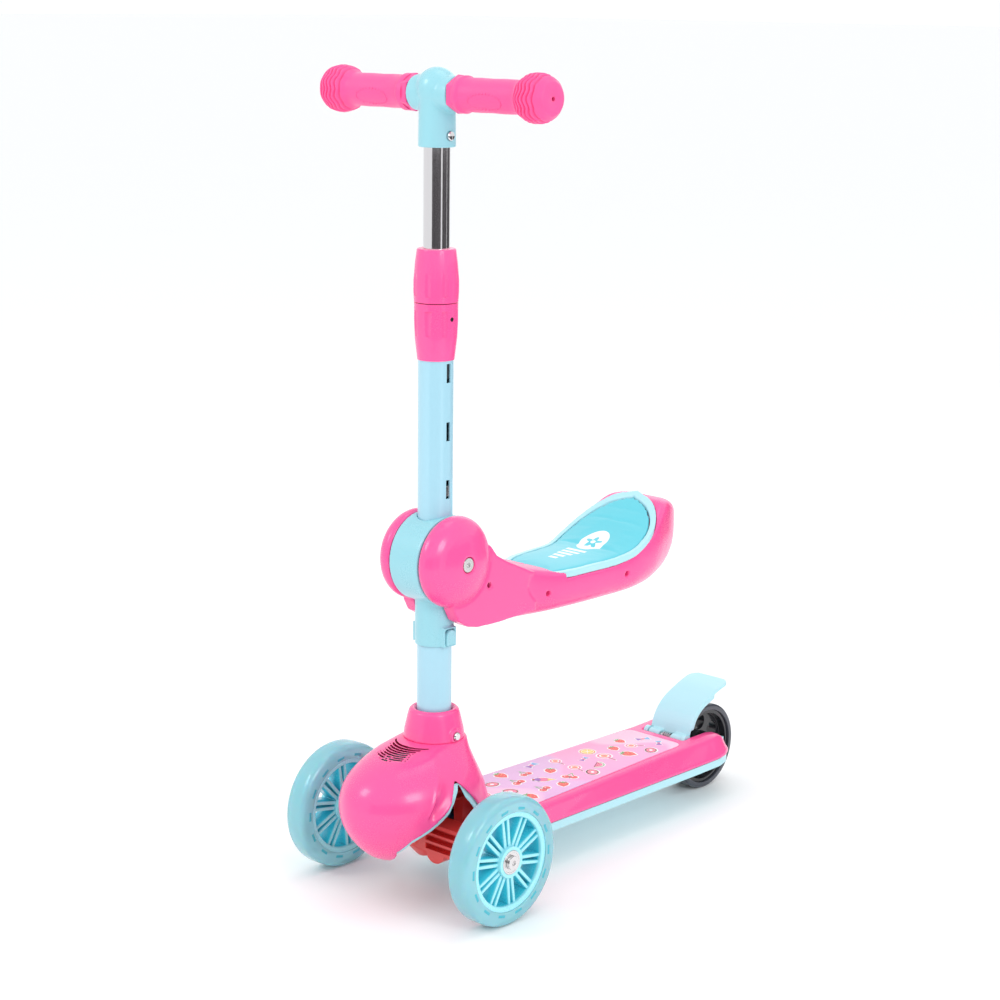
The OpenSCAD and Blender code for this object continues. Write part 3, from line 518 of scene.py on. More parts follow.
# %% Lofted guides
def refine(rows, count, closed=False):
    """A smooth run of rows through a short list of rows, count for each gap."""
    rows = np.asarray(rows, float)
    last = len(rows)

    def at(index):
        return rows[index % last] if closed else rows[min(max(index, 0), last - 1)]

    made = []
    for index in range(last if closed else last - 1):
        a, b, c, d = (at(index + step) for step in (-1, 0, 1, 2))
        for t in np.arange(count) / count:
            made.append(0.5 * (2 * b + (c - a) * t + (2 * a - 5 * b + 4 * c - d) * t ** 2
                               + (3 * b - a - 3 * c + d) * t ** 3))
    return np.array(made if closed else made + [rows[-1]])


def skin(rings):
    """Points and four-sided faces over a stack of rings."""
    count, size = len(rings), len(rings[0])
    faces = [(r * size + i, r * size + (i + 1) % size, (r + 1) * size + (i + 1) % size,
              (r + 1) * size + i) for r in range(count - 1) for i in range(size)]
    return [Vector(point) for ring in rings for point in ring], faces


def guide_over(rings):
    rings = refine(rings, 4)
    rings = np.swapaxes(refine(np.swapaxes(rings, 0, 1), 5, closed=True), 0, 1)
    return BVHTree.FromPolygons(*skin(rings))


def power(value, exponent):
    return np.sign(value) * np.abs(value) ** exponent


# Height, half width, front, back and middle of the nose, in millimetres from the axle's foot.
NOSE = [[40, 8, -38, 30, -10], [44, 20, -46, 50, -8], [50, 31, -58, 60, -4], [62, 44, -71, 70, 0],
        [78, 54, -81, 70, 0], [95, 58.5, -84, 62, 0], [112, 56, -80, 55, 2],
        [126, 48.5, -68, 49.5, 5], [138, 38.5, -46, 47, 10], [147, 28.4, -9, 48.5, 20]]


def nose_ring(row):
    height, half, front, rear, mid = row
    turn = np.radians(np.arange(0, 360, 7.5))
    x, y = np.cos(turn), -np.sin(turn)
    e = np.where(y < 0, 1, 0.85)
    depth = np.where(y < 0, mid - front, rear - mid)
    return np.stack([half * power(x, e), mid + depth * power(y, e), np.full(48, height)], 1)


nose_guide = guide_over([nose_ring(row) * MM + nose_foot for row in refine(NOSE, 2)])

# Distance behind the axle, half width, top and underside of the seat, in millimetres.
SEAT = [[60, 30, 302, 246], [90, 31, 299, 243.5], [120, 33, 292, 242], [150, 39, 286, 241.5],
        [190, 43, 286, 241.5], [225, 45.5, 287, 242], [255, 49, 296, 242.5],
        [282, 47, 312, 243.5], [304, 40, 326, 246], [322, 32, 326, 251], [338, 23, 319, 260],
        [350, 13, 311, 273], [358, 1.5, 303, 288]]
LID = 0.6


def seat_ring(row):
    y, half, top, low = row
    top = top + LID
    mid = low + (top - low) * 0.62
    turn = np.radians(np.arange(0, 360, 12))
    rise = np.where(np.sin(turn) >= 0, top - mid, mid - low)
    e = np.where(np.sin(turn) >= 0, 0.34, 0.8)
    return np.stack([max(half, 0.8) * power(np.cos(turn), e), np.full(30, y),
                     mid + rise * power(np.sin(turn), e)], 1)


seat_guide = guide_over([seat_ring(row) * MM + nose_foot for row in refine(SEAT, 2)])
print("guides for the nose and the seat")

# %% [markdown]
# ## Nose
# The round nose hides the steering. On each side it has a shallow hollow, narrow at the foot and
# wide at the top, with a soft raised edge. It is pressed in by moving points sideways: a smooth
# formula says how far, so that no edge of the hollow is sharp.


# %% Nose
def nose_hollow(points):
    """How far each point of the nose's outer face goes in. Negative is a raised edge."""
    foot = np.array([nose_foot.y - 36 * MM, 93 * MM])
    along = np.array([0.66, 0.751])
    length, wide, narrow = 54 * MM, 14.0 * MM, 4.2 * MM
    rel = points[:, 1:] - foot
    t = rel @ along / length
    side = (rel[:, 0] * along[1] - rel[:, 1] * along[0])
    half = narrow + (wide - narrow) * np.clip(t, 0, 1)
    s = np.abs(side) / half
    start = np.clip((t + 0.10) / 0.22, 0, 1)
    fade = start ** 2 * (3 - 2 * start) * np.clip(1.08 - t, 0, 1) ** 0.8
    dip = np.where(s < 1, np.clip(1 - s ** 2, 0, 1) ** 1.5, 0) * 4.2 * MM
    edge = np.exp(-((s - 1.12) / 0.18) ** 2) * 0.9 * MM
    return (dip - edge) * fade


def press_in(piece):
    """Moves both faces of the wall, so that it keeps its thickness."""
    spots = points_of(piece)
    side = np.clip(spots[:, 0] / (12 * MM), -1, 1)
    spots[:, 0] -= nose_hollow(spots) * side
    move_points(piece, spots)
    piece.modifiers.new("settle", "SMOOTH").iterations = 3
    bake(piece).data.shade_smooth()


NOSE_GRID, LIP_GRID = 0.82 * MM, 0.55 * MM
nose = remoulded("nose_shell", "nose", NOSE_GRID, 6, nose_guide)
lip = remoulded("nose_trim", "nose_lip", LIP_GRID, 3)
for piece, material, node in ((nose, pink_plastic, "nose_shell"), (lip, pale_plastic, "nose_trim")):
    press_in(piece)
    place(piece, material, node)
    print(piece.name, len(piece.data.polygons), "faces")

# %% [markdown]
# ## Seat shells and other mouldings
# The seat is two half shells screwed together, so it keeps a fine parting line down the middle. The
# neck, the T piece, the hub, the deck cover and the foot brake are mouldings too, and
# differ only in how fine their detail is.

# %% Seat shells
for side_name in ("left", "right"):
    shell = remoulded("seat_shell_" + side_name, side_name + "_seat_shell", 0.95 * MM, 8, seat_guide)
    place(shell, pink_plastic, "seat_shell_" + side_name)
    print(shell.name, len(shell.data.polygons), "faces")

# %% Other mouldings
MOULDED = {
    "stem_socket": ("neck", pink_plastic, 0.8, 4), "t_connector": ("t_piece", hub_plastic, 0.75, 9),
    "seat_hub": ("seat_hub_moulding", hub_plastic, 1.0, 4),
    "deck_cover": ("deck_top_cover", pink_plastic, 1.3, 4),
    "brake_fender": ("foot_brake", pale_plastic, 0.6, 8),
    "left_seat_release": ("left_release_button", hub_plastic, 0.3, 2),
    "right_seat_release": ("right_release_button", hub_plastic, 0.3, 2),
    "seat_trim": ("pad_border", pale_plastic, 0.7, 4)}
for node, (name, material, voxel, rounds) in MOULDED.items():
    made = place(remoulded(node, name, voxel * MM, rounds), material, node)
    print(name, len(made.data.polygons), "faces")

# %% [markdown]
# ## Turned, cut and pressed parts
# Tubes, bolts, springs and the ribbed red castings keep the frame's shape. A bevel of a few tenths
# of a millimetre is enough to make each edge shine.

# %% Turned and cut parts
CUT = {
    zinc: ["crossbar", "t_button_spring", "stem_button_spring", "seat_pivot_nut", "kingpin",
           "kingpin_nut", "front_spacers", "deck_stiffener", "rear_spacer", "rear_axle_bolt",
           "rear_axle_nut", "brake_pin"],
    bright_steel: ["seat_pivot_bolt", "front_axle_bolts", "left_bearings", "right_bearings",
                   "rear_bearings"],
    chrome: ["inner_tube", "t_button", "height_clip", "left_stem_button", "right_stem_button"],
    black_steel: ["collar_pin", "seat_screws", "deck_screws"],
    magnet: ["left_led_ring", "right_led_ring"],
    red_plastic: ["steering_head", "front_truck"],
    black_plastic: ["inner_tube_bush", "collar_collet"],
    pink_plastic: ["collar_lower", "collar_upper"],
    black_gloss: ["rear_core"],
    pale_plastic: ["deck_tray"],
    stem_paint: ["stem_tube"],
    black_rubber: ["return_buffers"]}
FINE = {"deck_tray": 0.8, "steering_head": 0.6, "front_truck": 0.8, "return_buffers": 0.8,
        "stem_tube": 0.35, "collar_lower": 0.5, "collar_upper": 0.5, "inner_tube": 0.4,
        "rear_core": 0.5, "deck_stiffener": 0.3}
for material, nodes in CUT.items():
    for node in nodes:
        place(edged(node, node + "_finished", FINE.get(node, 0.2) * MM), material, node)
spring = frame["nodes"]["brake_spring"]
spring.data.materials.clear()
spring.data.materials.append(zinc)
print(sum(map(len, CUT.values())), "turned and cut parts")


# %% [markdown]
# ## Turning a profile
# Wheels, tyres and grips are round about the X axis. A lathe function turns an outline of
# (distance along the axis, radius) points, after a second function has rounded its corners.


# %% Lathe
def rounded(outline, radius, steps=4):
    """A closed outline with each corner rounded. A third number in a corner is its own radius."""
    made = []
    own = [corner[2] if len(corner) > 2 else radius for corner in outline]
    outline = [corner[:2] for corner in outline]
    for index, corner in enumerate(outline):
        here, radius = Vector(corner), own[index]
        if radius == 0:
            made.append(here)
            continue
        before = Vector(outline[index - 1]) - here
        after = Vector(outline[(index + 1) % len(outline)]) - here
        reach = min(radius, before.length / 2.05, after.length / 2.05)
        start, end = here + before.normalized() * reach, here + after.normalized() * reach
        for t in (k / steps for k in range(steps + 1)):
            made.append(start * (1 - t) ** 2 + here * (2 * t * (1 - t)) + end * t ** 2)
    return made


def lathe(name, outline, centre, steps=120, shift=lambda x, turn: 0.0):
    """Turns a closed outline about an X axis through centre. Shift may move points along X."""
    rings = []
    for index in range(steps):
        turn = 2 * math.pi * index / steps
        rings.append([Vector((centre.x + x + shift(x, turn), centre.y + r * math.sin(turn),
                              centre.z + r * math.cos(turn))) for x, r in outline])
    rings.append(rings[0])
    piece = add_mesh(name, *skin(rings))
    return closed(piece)


def closed(piece):
    """Joins double points and turns every face outwards."""
    shape = bmesh.new()
    shape.from_mesh(piece.data)
    bmesh.ops.remove_doubles(shape, verts=shape.verts, dist=0.002 * MM)
    bmesh.ops.dissolve_degenerate(shape, edges=shape.edges, dist=0.001 * MM)
    bmesh.ops.recalc_face_normals(shape, faces=shape.faces)
    shape.to_mesh(piece.data)
    shape.free()
    return piece


def mirrored(piece, name):
    """The same piece on the other side of the scooter."""
    mesh = piece.data.copy()
    made = add_object(name, mesh)
    mesh.transform(Matrix.Scale(-1, 4, (1, 0, 0)))
    mesh.flip_normals()
    return made


# %% [markdown]
# ## Geometry Nodes: one tree for what goes round an axle
# Spokes, windows and rings repeat evenly round a wheel. One small tree does them all: it copies a
# part to a number of points, turns each copy about the axle, and makes the copies real. Its named
# inputs are the part, the number and the middle, so that each wheel uses the same tree.


# %% Tree for parts round an axle
def new_tree(name, inputs):
    tree = bpy.data.node_groups.new(name, "GeometryNodeTree")
    tree.interface.new_socket("Geometry", in_out="INPUT", socket_type="NodeSocketGeometry")
    for label, kind in inputs.items():
        tree.interface.new_socket(label, in_out="INPUT", socket_type="NodeSocket" + kind)
    tree.interface.new_socket("Geometry", in_out="OUTPUT", socket_type="NodeSocketGeometry")
    tree.is_modifier = True
    return tree


def node_in(tree, kind, settings=None, **sockets):
    """Adds a node. Each socket takes a value, or a link from another node's output."""
    made = tree.nodes.new(kind)
    for label, value in (settings or {}).items():
        setattr(made, label, value)
    for label, value in sockets.items():
        target = made.inputs[int(label[1:])] if label[0] == "i" and label[1:].isdigit() \
            else made.inputs[label.replace("_", " ")]
        if isinstance(value, bpy.types.NodeSocket):
            tree.links.new(value, target)
        else:
            target.default_value = value
    return made.outputs


def use_tree(piece, tree, **values):
    """Adds the tree to a piece, and sets its inputs by their identifiers."""
    modifier = piece.modifiers.new(tree.name, "NODES")
    modifier.node_group = tree
    for item in tree.interface.items_tree:
        if item.in_out == "INPUT" and item.name.replace(" ", "_") in values:
            modifier[item.identifier] = values[item.name.replace(" ", "_")]
    return bake(piece)


def parts_round_axle():
    tree = new_tree("parts_round_axle", {"Part": "Object", "Count": "Int", "Middle": "Vector",
                                         "Turn": "Float", "Finish": "Material"})
    given = tree.nodes.new("NodeGroupInput").outputs
    part = node_in(tree, "GeometryNodeObjectInfo", Object=given["Part"])
    points = node_in(tree, "GeometryNodePoints", Count=given["Count"])
    index = node_in(tree, "GeometryNodeInputIndex")[0]
    share = node_in(tree, "ShaderNodeMath", {"operation": "DIVIDE"}, i0=index, i1=given["Count"])
    angle = node_in(tree, "ShaderNodeMath", {"operation": "MULTIPLY_ADD"}, i0=share[0],
                    i1=2 * math.pi, i2=given["Turn"])
    spin = node_in(tree, "ShaderNodeCombineXYZ", X=angle[0])
    copies = node_in(tree, "GeometryNodeInstanceOnPoints", Points=points[0],
                     Instance=part["Geometry"], Rotation=spin[0])
    there = node_in(tree, "GeometryNodeSetPosition", Geometry=copies[0], Offset=given["Middle"])
    real = node_in(tree, "GeometryNodeRealizeInstances", Geometry=there[0])
    finished = node_in(tree, "GeometryNodeSetMaterial", Geometry=real[0], Material=given["Finish"])
    out = tree.nodes.new("NodeGroupOutput")
    tree.links.new(finished[0], out.inputs[0])
    return tree


round_axle = parts_round_axle()


def ring_of(name, part, count, centre, material, turn=0.0):
    """A new piece made of copies of a part about an axle. The part itself is thrown away."""
    piece = add_mesh(name, [(0, 0, 0)], [])
    use_tree(piece, round_axle, Part=part, Count=count, Middle=tuple(centre), Turn=turn,
             Finish=material)
    bpy.data.objects.remove(part)
    return piece


def joined(name, *pieces):
    """One piece of several. They may have different finishes."""
    first = pieces[0]
    with bpy.context.temp_override(active_object=first, object=first,
                                   selected_editable_objects=list(pieces)):
        bpy.ops.object.join()
    first.name = name
    return first


def bar_part(name, low, high, radius, taper=1.0):
    """A bar between two corners with rounded edges. Its far end along Z is narrower by the taper."""
    shape = bmesh.new()
    bmesh.ops.create_cube(shape, size=1)
    for vertex in shape.verts:
        far = vertex.co.z > 0
        for axis in range(3):
            vertex.co[axis] = low[axis] if vertex.co[axis] < 0 else high[axis]
        if far:
            mid = (low[1] + high[1]) / 2
            vertex.co.y = mid + (vertex.co.y - mid) * taper
    bmesh.ops.bevel(shape, geom=shape.edges, offset=radius, segments=2, profile=0.5,
                    affect="EDGES")
    mesh = bpy.data.meshes.new(name)
    shape.to_mesh(mesh)
    shape.free()
    return add_object(name, mesh)

# %% [markdown]
# ## Front wheels
# The core is a hub, a rim and ten pairs of thin spokes that spread towards the rim. The tyre is cast
# round it. Fourteen openings in the core's hidden flange show through the clear tyre as darker
# dashes just outside the rim. The dashes are flat marks on the tyre's faces, and their dark turquoise
# is painted shade.

# %% Core finish
def core_finish():
    """The core's own pale turquoise, with painted shade: a darker turquoise near its middle plane, inside
    the pockets.
    """
    colour = (0.33, 0.77, 0.85)
    finish = Finish("core_plastic", colour, IOR=1.49, Coat_Weight=0.3, Coat_Roughness=0.1,
                    Subsurface_Weight=0.1, Subsurface_Scale=0.004)
    across = (finish.axes()[0].size() - front_hub.x).size() / MM
    # Painted shade: within about 8.6 mm of the core's middle plane, inside the pockets, the colour turns a
    # darker turquoise.
    pocket_shade = ((8.6 - across) * 0.55).least(1).most(0)
    flow = finish.noise(18, 3)
    pale = finish.mix(flow * 0.3, colour, (0.40, 0.82, 0.88))
    finish.paint(finish.mix(pocket_shade, pale, (0.06, 0.64, 0.78)))
    finish.roughen(flow * 0.1 + finish.noise(800) * 0.05 + 0.2)
    finish.bump(flow, 0.03 * MM, 0.5)
    return finish.material


core_plastic = core_finish()

# %% Front wheels
HALF_TYRE = 12 * MM


def wheel_part(name, outline, radius, middle_at):
    """A ring turned about the axle: its outline is in millimetres, across and out from the hub."""
    made = lathe(name, rounded([[n * MM for n in corner] for corner in outline], radius * MM, 5),
                 middle_at, 160)
    return shade(made)


def front_core(side_name, centre):
    hub = wheel_part("hub", [(-12, 11.05), (-4.8, 11.05), (-4.8, 10), (4.8, 10),
                             (4.8, 11.05), (12, 11.05), (12, 14.5), (-12, 14.5)], 0.7, centre)
    rim = wheel_part("rim", [(-10, 41), (10, 41), (11, 42), (11, 45.98, 0.3),
                             (-11, 45.98, 0.3), (-11, 42)], 1.2, centre)
    bars = []
    for lean in (-1, 1):
        bar_piece = bar_part("bar", (-8.6 * MM, (lean * 2.1 - 1.75) * MM, 12 * MM),
                             (8.6 * MM, (lean * 2.1 + 1.75) * MM, 41.7 * MM), 0.6 * MM, 0.8)
        bar_piece.data.transform(Matrix.Rotation(math.radians(-1.6 * lean), 4, "X"))
        bars.append(bar_piece)
    pair = joined("pair", *bars)
    spokes = ring_of("spokes", pair, 10, centre, core_plastic, 0.12)
    for part in (hub, rim):
        part.data.materials.append(core_plastic)
    core = joined(side_name + "_wheel_core", hub, rim, spokes)
    core.data.shade_smooth()
    core.data.set_sharp_from_angle(angle=math.radians(35))
    return core


for side_name, sign in (("left", 1), ("right", -1)):
    at = Vector((front_hub.x * sign, front_hub.y, front_hub.z))
    place(front_core(side_name, at), None, side_name + "_core")
    tyre = wheel_part(side_name + "_front_tyre",
                      [(-12, 46, 0.3), (12, 46, 0.3), (12, 60, 8.5), (-12, 60, 8.5)], 1, at)
    tyre.data.shade_smooth()
    place(tyre, clear_tyre, side_name + "_tyre")
    for face in (-1, 1):
        # Painted shade: a flat dark dash on each face of the tyre stands for an opening seen through it.
        slot = bar_part("slot", (-0.25 * MM, -4.4 * MM, 48.0 * MM),
                        (0.25 * MM, 4.4 * MM, 50.6 * MM), 0.24 * MM)
        outside = at + Vector((face * (HALF_TYRE - 0.12 * MM), 0, 0))
        marks = ring_of(side_name + ("_dashes_out" if face > 0 else "_dashes_in"), slot, 14, outside,
                        window_plastic, 0.2)
        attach(marks, side_name + "_wheel")
        marks.data.shade_smooth()
    print(side_name, "wheel made")

# %% [markdown]
# ## Rear tyre
# The rear tyre is solid and dark, with rounded shoulders.

# %% Rear tyre
rear = wheel_part("back_tyre", [(-15, 39, 0.3), (15, 39, 0.3), (15, 45, 5.2), (-15, 45, 5.2)],
                  1, rear_hub)
rear.data.shade_smooth()
place(rear, grey_tyre, "rear_tyre")
print("rear tyre", len(rear.data.polygons), "faces")

# %% [markdown]
# ## Grips
# A grip is turned too: a ring, a barrel and a ball with six wavy grooves, then a flat end with a
# small hole. Next to the stem it has a six-sided flange. The waves come from a shift along the axis
# that follows a sine round the ball. Small raised dots form an oval on the barrel.

# %% Grip profile
BALL, BALL_R, BAR_END = 117, 21.25, 134
GROOVES = [BALL - 11.5 + 4.1 * index for index in range(6)]


def ball_radius(x):
    body = math.sqrt(max(BALL_R ** 2 - 0.86 * (x - BALL) ** 2, 1))
    cut = max(math.exp(-((x - groove) / 0.85) ** 2) for groove in GROOVES)
    return body - 2.3 * cut


def wave(x, turn):
    near = math.exp(-(((x / MM) - BALL + 1) / 11) ** 4)
    return 1.15 * MM * near * math.sin(9 * turn)


barrel = [(30, 11.05), (30, 15.6), (33.2, 16.2), (35.8, 16.2), (36.8, 15.2), (38, 14.5),
          (52, 14.75), (66, 14.4), (80, 14.75), (94, 14.5), (98, 14.5), (101, 15.2)]
ball = [(x, ball_radius(x)) for x in np.arange(103.5, 129.6, 0.3)]
end = [(131.2, 15.6), (132.6, 14.8), (133.6, 13.6), (BAR_END, 12.2), (BAR_END, 2.6),
       (133.6, 2.0), (113, 2.0), (113, 11.05)]
grip_line = [(x * MM, r * MM) for x, r in barrel + ball + end]
stem_line = Vector((0, bar.y, bar.z))


def flange():
    shape = bmesh.new()
    bmesh.ops.create_cone(shape, cap_ends=True, segments=6, radius1=16.9 * MM, radius2=16.4 * MM,
                          depth=8 * MM)
    bmesh.ops.bevel(shape, geom=shape.edges, offset=0.9 * MM, segments=3, profile=0.5,
                    affect="EDGES")
    mesh = bpy.data.meshes.new("flange")
    shape.to_mesh(mesh)
    shape.free()
    mesh.transform(Matrix.Translation(stem_line + Vector((28.2 * MM, 0, 0)))
                   @ Matrix.Rotation(math.pi / 2, 4, "Y") @ Matrix.Rotation(math.pi / 6, 4, "Z"))
    return add_object("flange", mesh)


def dots():
    """An oval of low round dots on the front and the back of the barrel."""
    made = bmesh.new()
    for half_turn in (-0.62 * math.pi, 0.38 * math.pi):
        for index in range(30):
            angle = 2 * math.pi * index / 30
            x, turn = (68 + 19 * math.cos(angle)) * MM, half_turn + 0.52 * math.sin(angle)
            spot = stem_line + Vector((x, 14.45 * MM * math.sin(turn), 14.45 * MM * math.cos(turn)))
            bmesh.ops.create_icosphere(made, subdivisions=1, radius=0.95 * MM,
                                       matrix=Matrix.Translation(spot))
    mesh = bpy.data.meshes.new("dots")
    made.to_mesh(mesh)
    made.free()
    return add_object("dots", mesh)


# %% Both grips
left = joined("left_hand_grip", lathe("grip", grip_line, stem_line, 180, wave), flange(), dots())
left.data.materials.append(grip_rubber)
shade(left, 50)
other = mirrored(left, "right_hand_grip")
place(left, None, "left_grip")
place(other, None, "right_grip")
print("each grip has", len(left.data.polygons), "faces")

# %% [markdown]
# ## Seat pad
# The pad is foam under a thin soft skin. The frame holds it as a plain sheet. A copy is remeshed,
# held along its rim, and blown up a little by cloth pressure, which gives it the low crown of real
# foam. No point may move more than two millimetres.


# %% Seat pad
def blow_up(piece, most):
    """Cloth pressure with the rim and the underside held."""
    start = points_of(piece)
    held = piece.vertex_groups.new(name="held")
    held.add([vertex.index for vertex in piece.data.vertices if vertex.normal.z < 0.35], 1.0, "ADD")
    cloth = piece.modifiers.new("cloth", "CLOTH")
    cloth.settings.use_pressure = True
    cloth.settings.uniform_pressure_force = 4
    cloth.settings.effector_weights.gravity = 0
    cloth.settings.vertex_group_mass = "held"
    for step in range(1, 21):
        bpy.context.scene.frame_set(step)
    bake(piece)
    bpy.context.scene.frame_set(1)
    move = points_of(piece) - start
    size = np.linalg.norm(move, axis=1, keepdims=True)
    move_points(piece, start + move * np.minimum(1, most / np.maximum(size, 1e-9)))


pad = copy_of("seat_cushion", "seat_pad")
grid = pad.modifiers.new("grid", "REMESH")
grid.mode, grid.voxel_size = "VOXEL", 2.2 * MM
bake(pad)
pad.modifiers.new("soften", "SMOOTH").iterations = 6
bake(pad)
blow_up(pad, 2 * MM)
pad.modifiers.new("finer", "SUBSURF").levels = 1
bake(pad)
pad.modifiers.new("settle", "SMOOTH").iterations = 4
bake(pad)
pad.data.shade_smooth()
print("pad", len(pad.data.polygons), "faces")

# %% [markdown]
# The pad's skin is satin, with a fine even grain. It carries a plain white print: an oval with a
# five-petal flower left out, and a row of bars that get shorter. It is all one formula over X and Y.


# %% Pad skin and its print
def pad_skin():
    colour = (0.105, 0.56, 0.66)
    finish = Finish("pad_skin", colour, IOR=1.45, Sheen_Weight=0.25, Sheen_Roughness=0.4,
                    Coat_Weight=0.12, Coat_Roughness=0.3)
    x, y, _ = finish.axes()
    u, v = (y - PRINT_Y) / (1.35 * MM), x / (1.6 * MM)
    oval = (1 - (u / 13.5) ** 2 - (v / 9.0) ** 2).above(0)
    radius = (u * u + v * v) ** 0.5
    flower = ((v.turn(u) * 5).cos() * 1.7 + 4.6 - radius).above(0)
    heart = (radius * -1 + 1.7).above(0)
    bars = oval * 0
    for index, half in enumerate((7.5, 6.5, 5.5, 4.2, 3.0)):
        bars = bars + ((u + 18.5 + 6.2 * index).size() * -1 + 1.7).above(0) * (
            v.size() * -1 + half).above(0)
    ink = (oval - flower + heart + bars).least(1).most(0)
    cloud = finish.noise(20, 3)
    base = finish.mix(cloud * 0.35, colour, (0.15, 0.62, 0.72))
    finish.paint(finish.mix(ink, base, (0.92, 0.95, 0.95)))
    finish.roughen(cloud * 0.12 + finish.noise(700) * 0.08 + 0.30)
    finish.bump(finish.noise(1500, 1) + ink * 0.8, 0.04 * MM, 0.5)
    return finish.material


pad_low, pad_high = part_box("seat_cushion")
PRINT_Y = pad_low.y + 0.60 * (pad_high.y - pad_low.y)
place(pad, pad_skin(), "seat_cushion")
print("the print's middle is at y", round(PRINT_Y, 4))

# %% [markdown]
# ## Printed deck sheet
# A thin printed sheet with rounded corners lies on the deck. Its ground has three colours that meet
# in soft waves. Stickers of fruit and sweets are thin flat pieces just above it, each with a white
# border. Their places come from a jittered grid, so that they never overlap.


# %% Inks
def ink(name, colour):
    finish = Finish(name, colour, IOR=1.48, Coat_Weight=0.2, Coat_Roughness=0.25)
    flow, dots_of_ink = finish.noise(60, 3), finish.noise(2500, 1)
    finish.paint(finish.mix(flow * 0.25 + dots_of_ink * 0.12, colour, darker(colour, 0.82)))
    finish.roughen(flow * 0.1 + 0.36)
    finish.bump(dots_of_ink, 0.01 * MM, 0.3)
    return finish.material


def ground_ink():
    lilac, pink, blush = (0.72, 0.44, 0.72), (0.93, 0.36, 0.62), (0.90, 0.56, 0.74)
    finish = Finish("deck_ground", lilac, IOR=1.48, Coat_Weight=0.25, Coat_Roughness=0.25)
    x, y, _ = finish.axes()
    share = (y - sheet_low.y) / (sheet_high.y - sheet_low.y)
    sway = (x * 70).sin() * 0.05 + (x * 31 + 1.0).sin() * 0.06
    first = ((share + sway - 0.47) * 30).least(1).most(0)
    second = ((share - sway * 1.2 - 0.79) * 30).least(1).most(0)
    edge = ((0.13 - share + sway * 0.8) * 30).least(1).most(0)
    mixed = finish.mix(second, finish.mix(first, lilac, pink), blush)
    finish.paint(finish.mix(edge, mixed, blush))
    grain = finish.noise(900, 2)
    finish.roughen(grain * 0.16 + 0.34)
    finish.bump(grain, 0.05 * MM, 0.5)
    return finish.material


INKS = {"white": (0.93, 0.93, 0.93), "red": (0.80, 0.05, 0.06), "orange": (0.92, 0.30, 0.04),
        "yellow": (0.92, 0.66, 0.12), "green": (0.12, 0.42, 0.12), "rose": (0.90, 0.16, 0.32),
        "brown": (0.30, 0.09, 0.05), "violet": (0.32, 0.10, 0.48), "blue": (0.16, 0.42, 0.74)}
inks = {name: ink("ink_" + name, colour) for name, colour in INKS.items()}
print(len(inks), "inks")

# %% Deck sheet
sheet_low, sheet_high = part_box("deck_panel")
corners = [(-44, 84, 5), (44, 84, 5), (44.5, 120, 0), (39.5, 240, 0), (35, 346, 9), (-35, 346, 9),
           (-39.5, 240, 0), (-44.5, 120, 0)]
outline = rounded([(x * MM, y * MM + nose_foot.y, r * MM) for x, y, r in corners], 0, 8)
shape = bmesh.new()
foot = [shape.verts.new((x, y, sheet_low.z)) for x, y in outline]
sole = shape.faces.new(foot)
lifted = bmesh.ops.extrude_face_region(shape, geom=[sole])["geom"]
top_verts = [item for item in lifted if isinstance(item, bmesh.types.BMVert)]
bmesh.ops.translate(shape, verts=top_verts, vec=(0, 0, sheet_high.z - sheet_low.z))
rim_edges = [edge for edge in shape.edges if all(v in top_verts for v in edge.verts)]
bmesh.ops.bevel(shape, geom=rim_edges, offset=0.3 * MM, segments=2, profile=0.5, affect="EDGES")
bmesh.ops.recalc_face_normals(shape, faces=shape.faces)
sheet_mesh = bpy.data.meshes.new("printed_sheet")
shape.to_mesh(sheet_mesh)
shape.free()
printed_sheet = shade(add_object("printed_sheet", sheet_mesh))
place(printed_sheet, ground_ink(), "deck_panel")
print("deck sheet", len(sheet_mesh.polygons), "faces")


# %% Sticker shapes
def disc(x, y, r, squash_by=1.0, start=0.0, sweep=2 * math.pi, count=22):
    whole = sweep > 6.28
    return [(x + r * math.cos(start + sweep * i / count), y + r * squash_by * math.sin(
        start + sweep * i / count)) for i in range(count if whole else count + 1)]


def strip(x0, y0, x1, y1, width):
    away = Vector((y0 - y1, x1 - x0)).normalized() * width / 2
    return [(x0 + away.x, y0 + away.y), (x0 - away.x, y0 - away.y), (x1 - away.x, y1 - away.y),
            (x1 + away.x, y1 + away.y)]


def berry():
    body = [(0, -5.2), (3.2, -2), (4, 1.4), (2.6, 3.4), (0, 2.8), (-2.6, 3.4), (-4, 1.4), (-3.2, -2)]
    leaf = [(0, 2.2), (3, 4.6), (0.8, 4.2), (0, 5.6), (-0.8, 4.2), (-3, 4.6)]
    return [("red", body), ("green", leaf)] + [
        ("yellow", disc(x, y, 0.35, count=8)) for x, y in ((0, 0), (1.8, 1), (-1.8, 1), (0.9, -2))]


def citrus():
    return [("orange", disc(0, 0, 5)), ("white", disc(0, 0, 4.3)), ("yellow", disc(0, 0, 3.9))] + [
        ("white", strip(-3.9 * math.cos(a), -3.9 * math.sin(a), 3.9 * math.cos(a),
                        3.9 * math.sin(a), 0.4)) for a in (0.2, 1.25, 2.3)]


def melon():
    return [("green", disc(0, 2, 6, 1, math.pi, math.pi)), ("white", disc(0, 2, 5.2, 1, math.pi, math.pi)),
            ("rose", disc(0, 2, 4.7, 1, math.pi, math.pi))] + [
        ("brown", disc(x, y, 0.4, 1.4, count=8)) for x, y in ((0, -0.6), (-2.2, 0.6), (2.2, 0.6))]


def cherries():
    return [("green", strip(-2, -1, 1.5, 5, 0.7)), ("green", strip(3, -1.4, 1.5, 5, 0.7)),
            ("red", disc(-2.4, -2, 2.6)), ("red", disc(3, -2.6, 2.6)),
            ("white", disc(-3.2, -1.2, 0.6, count=8)), ("white", disc(2.2, -1.8, 0.6, count=8))]


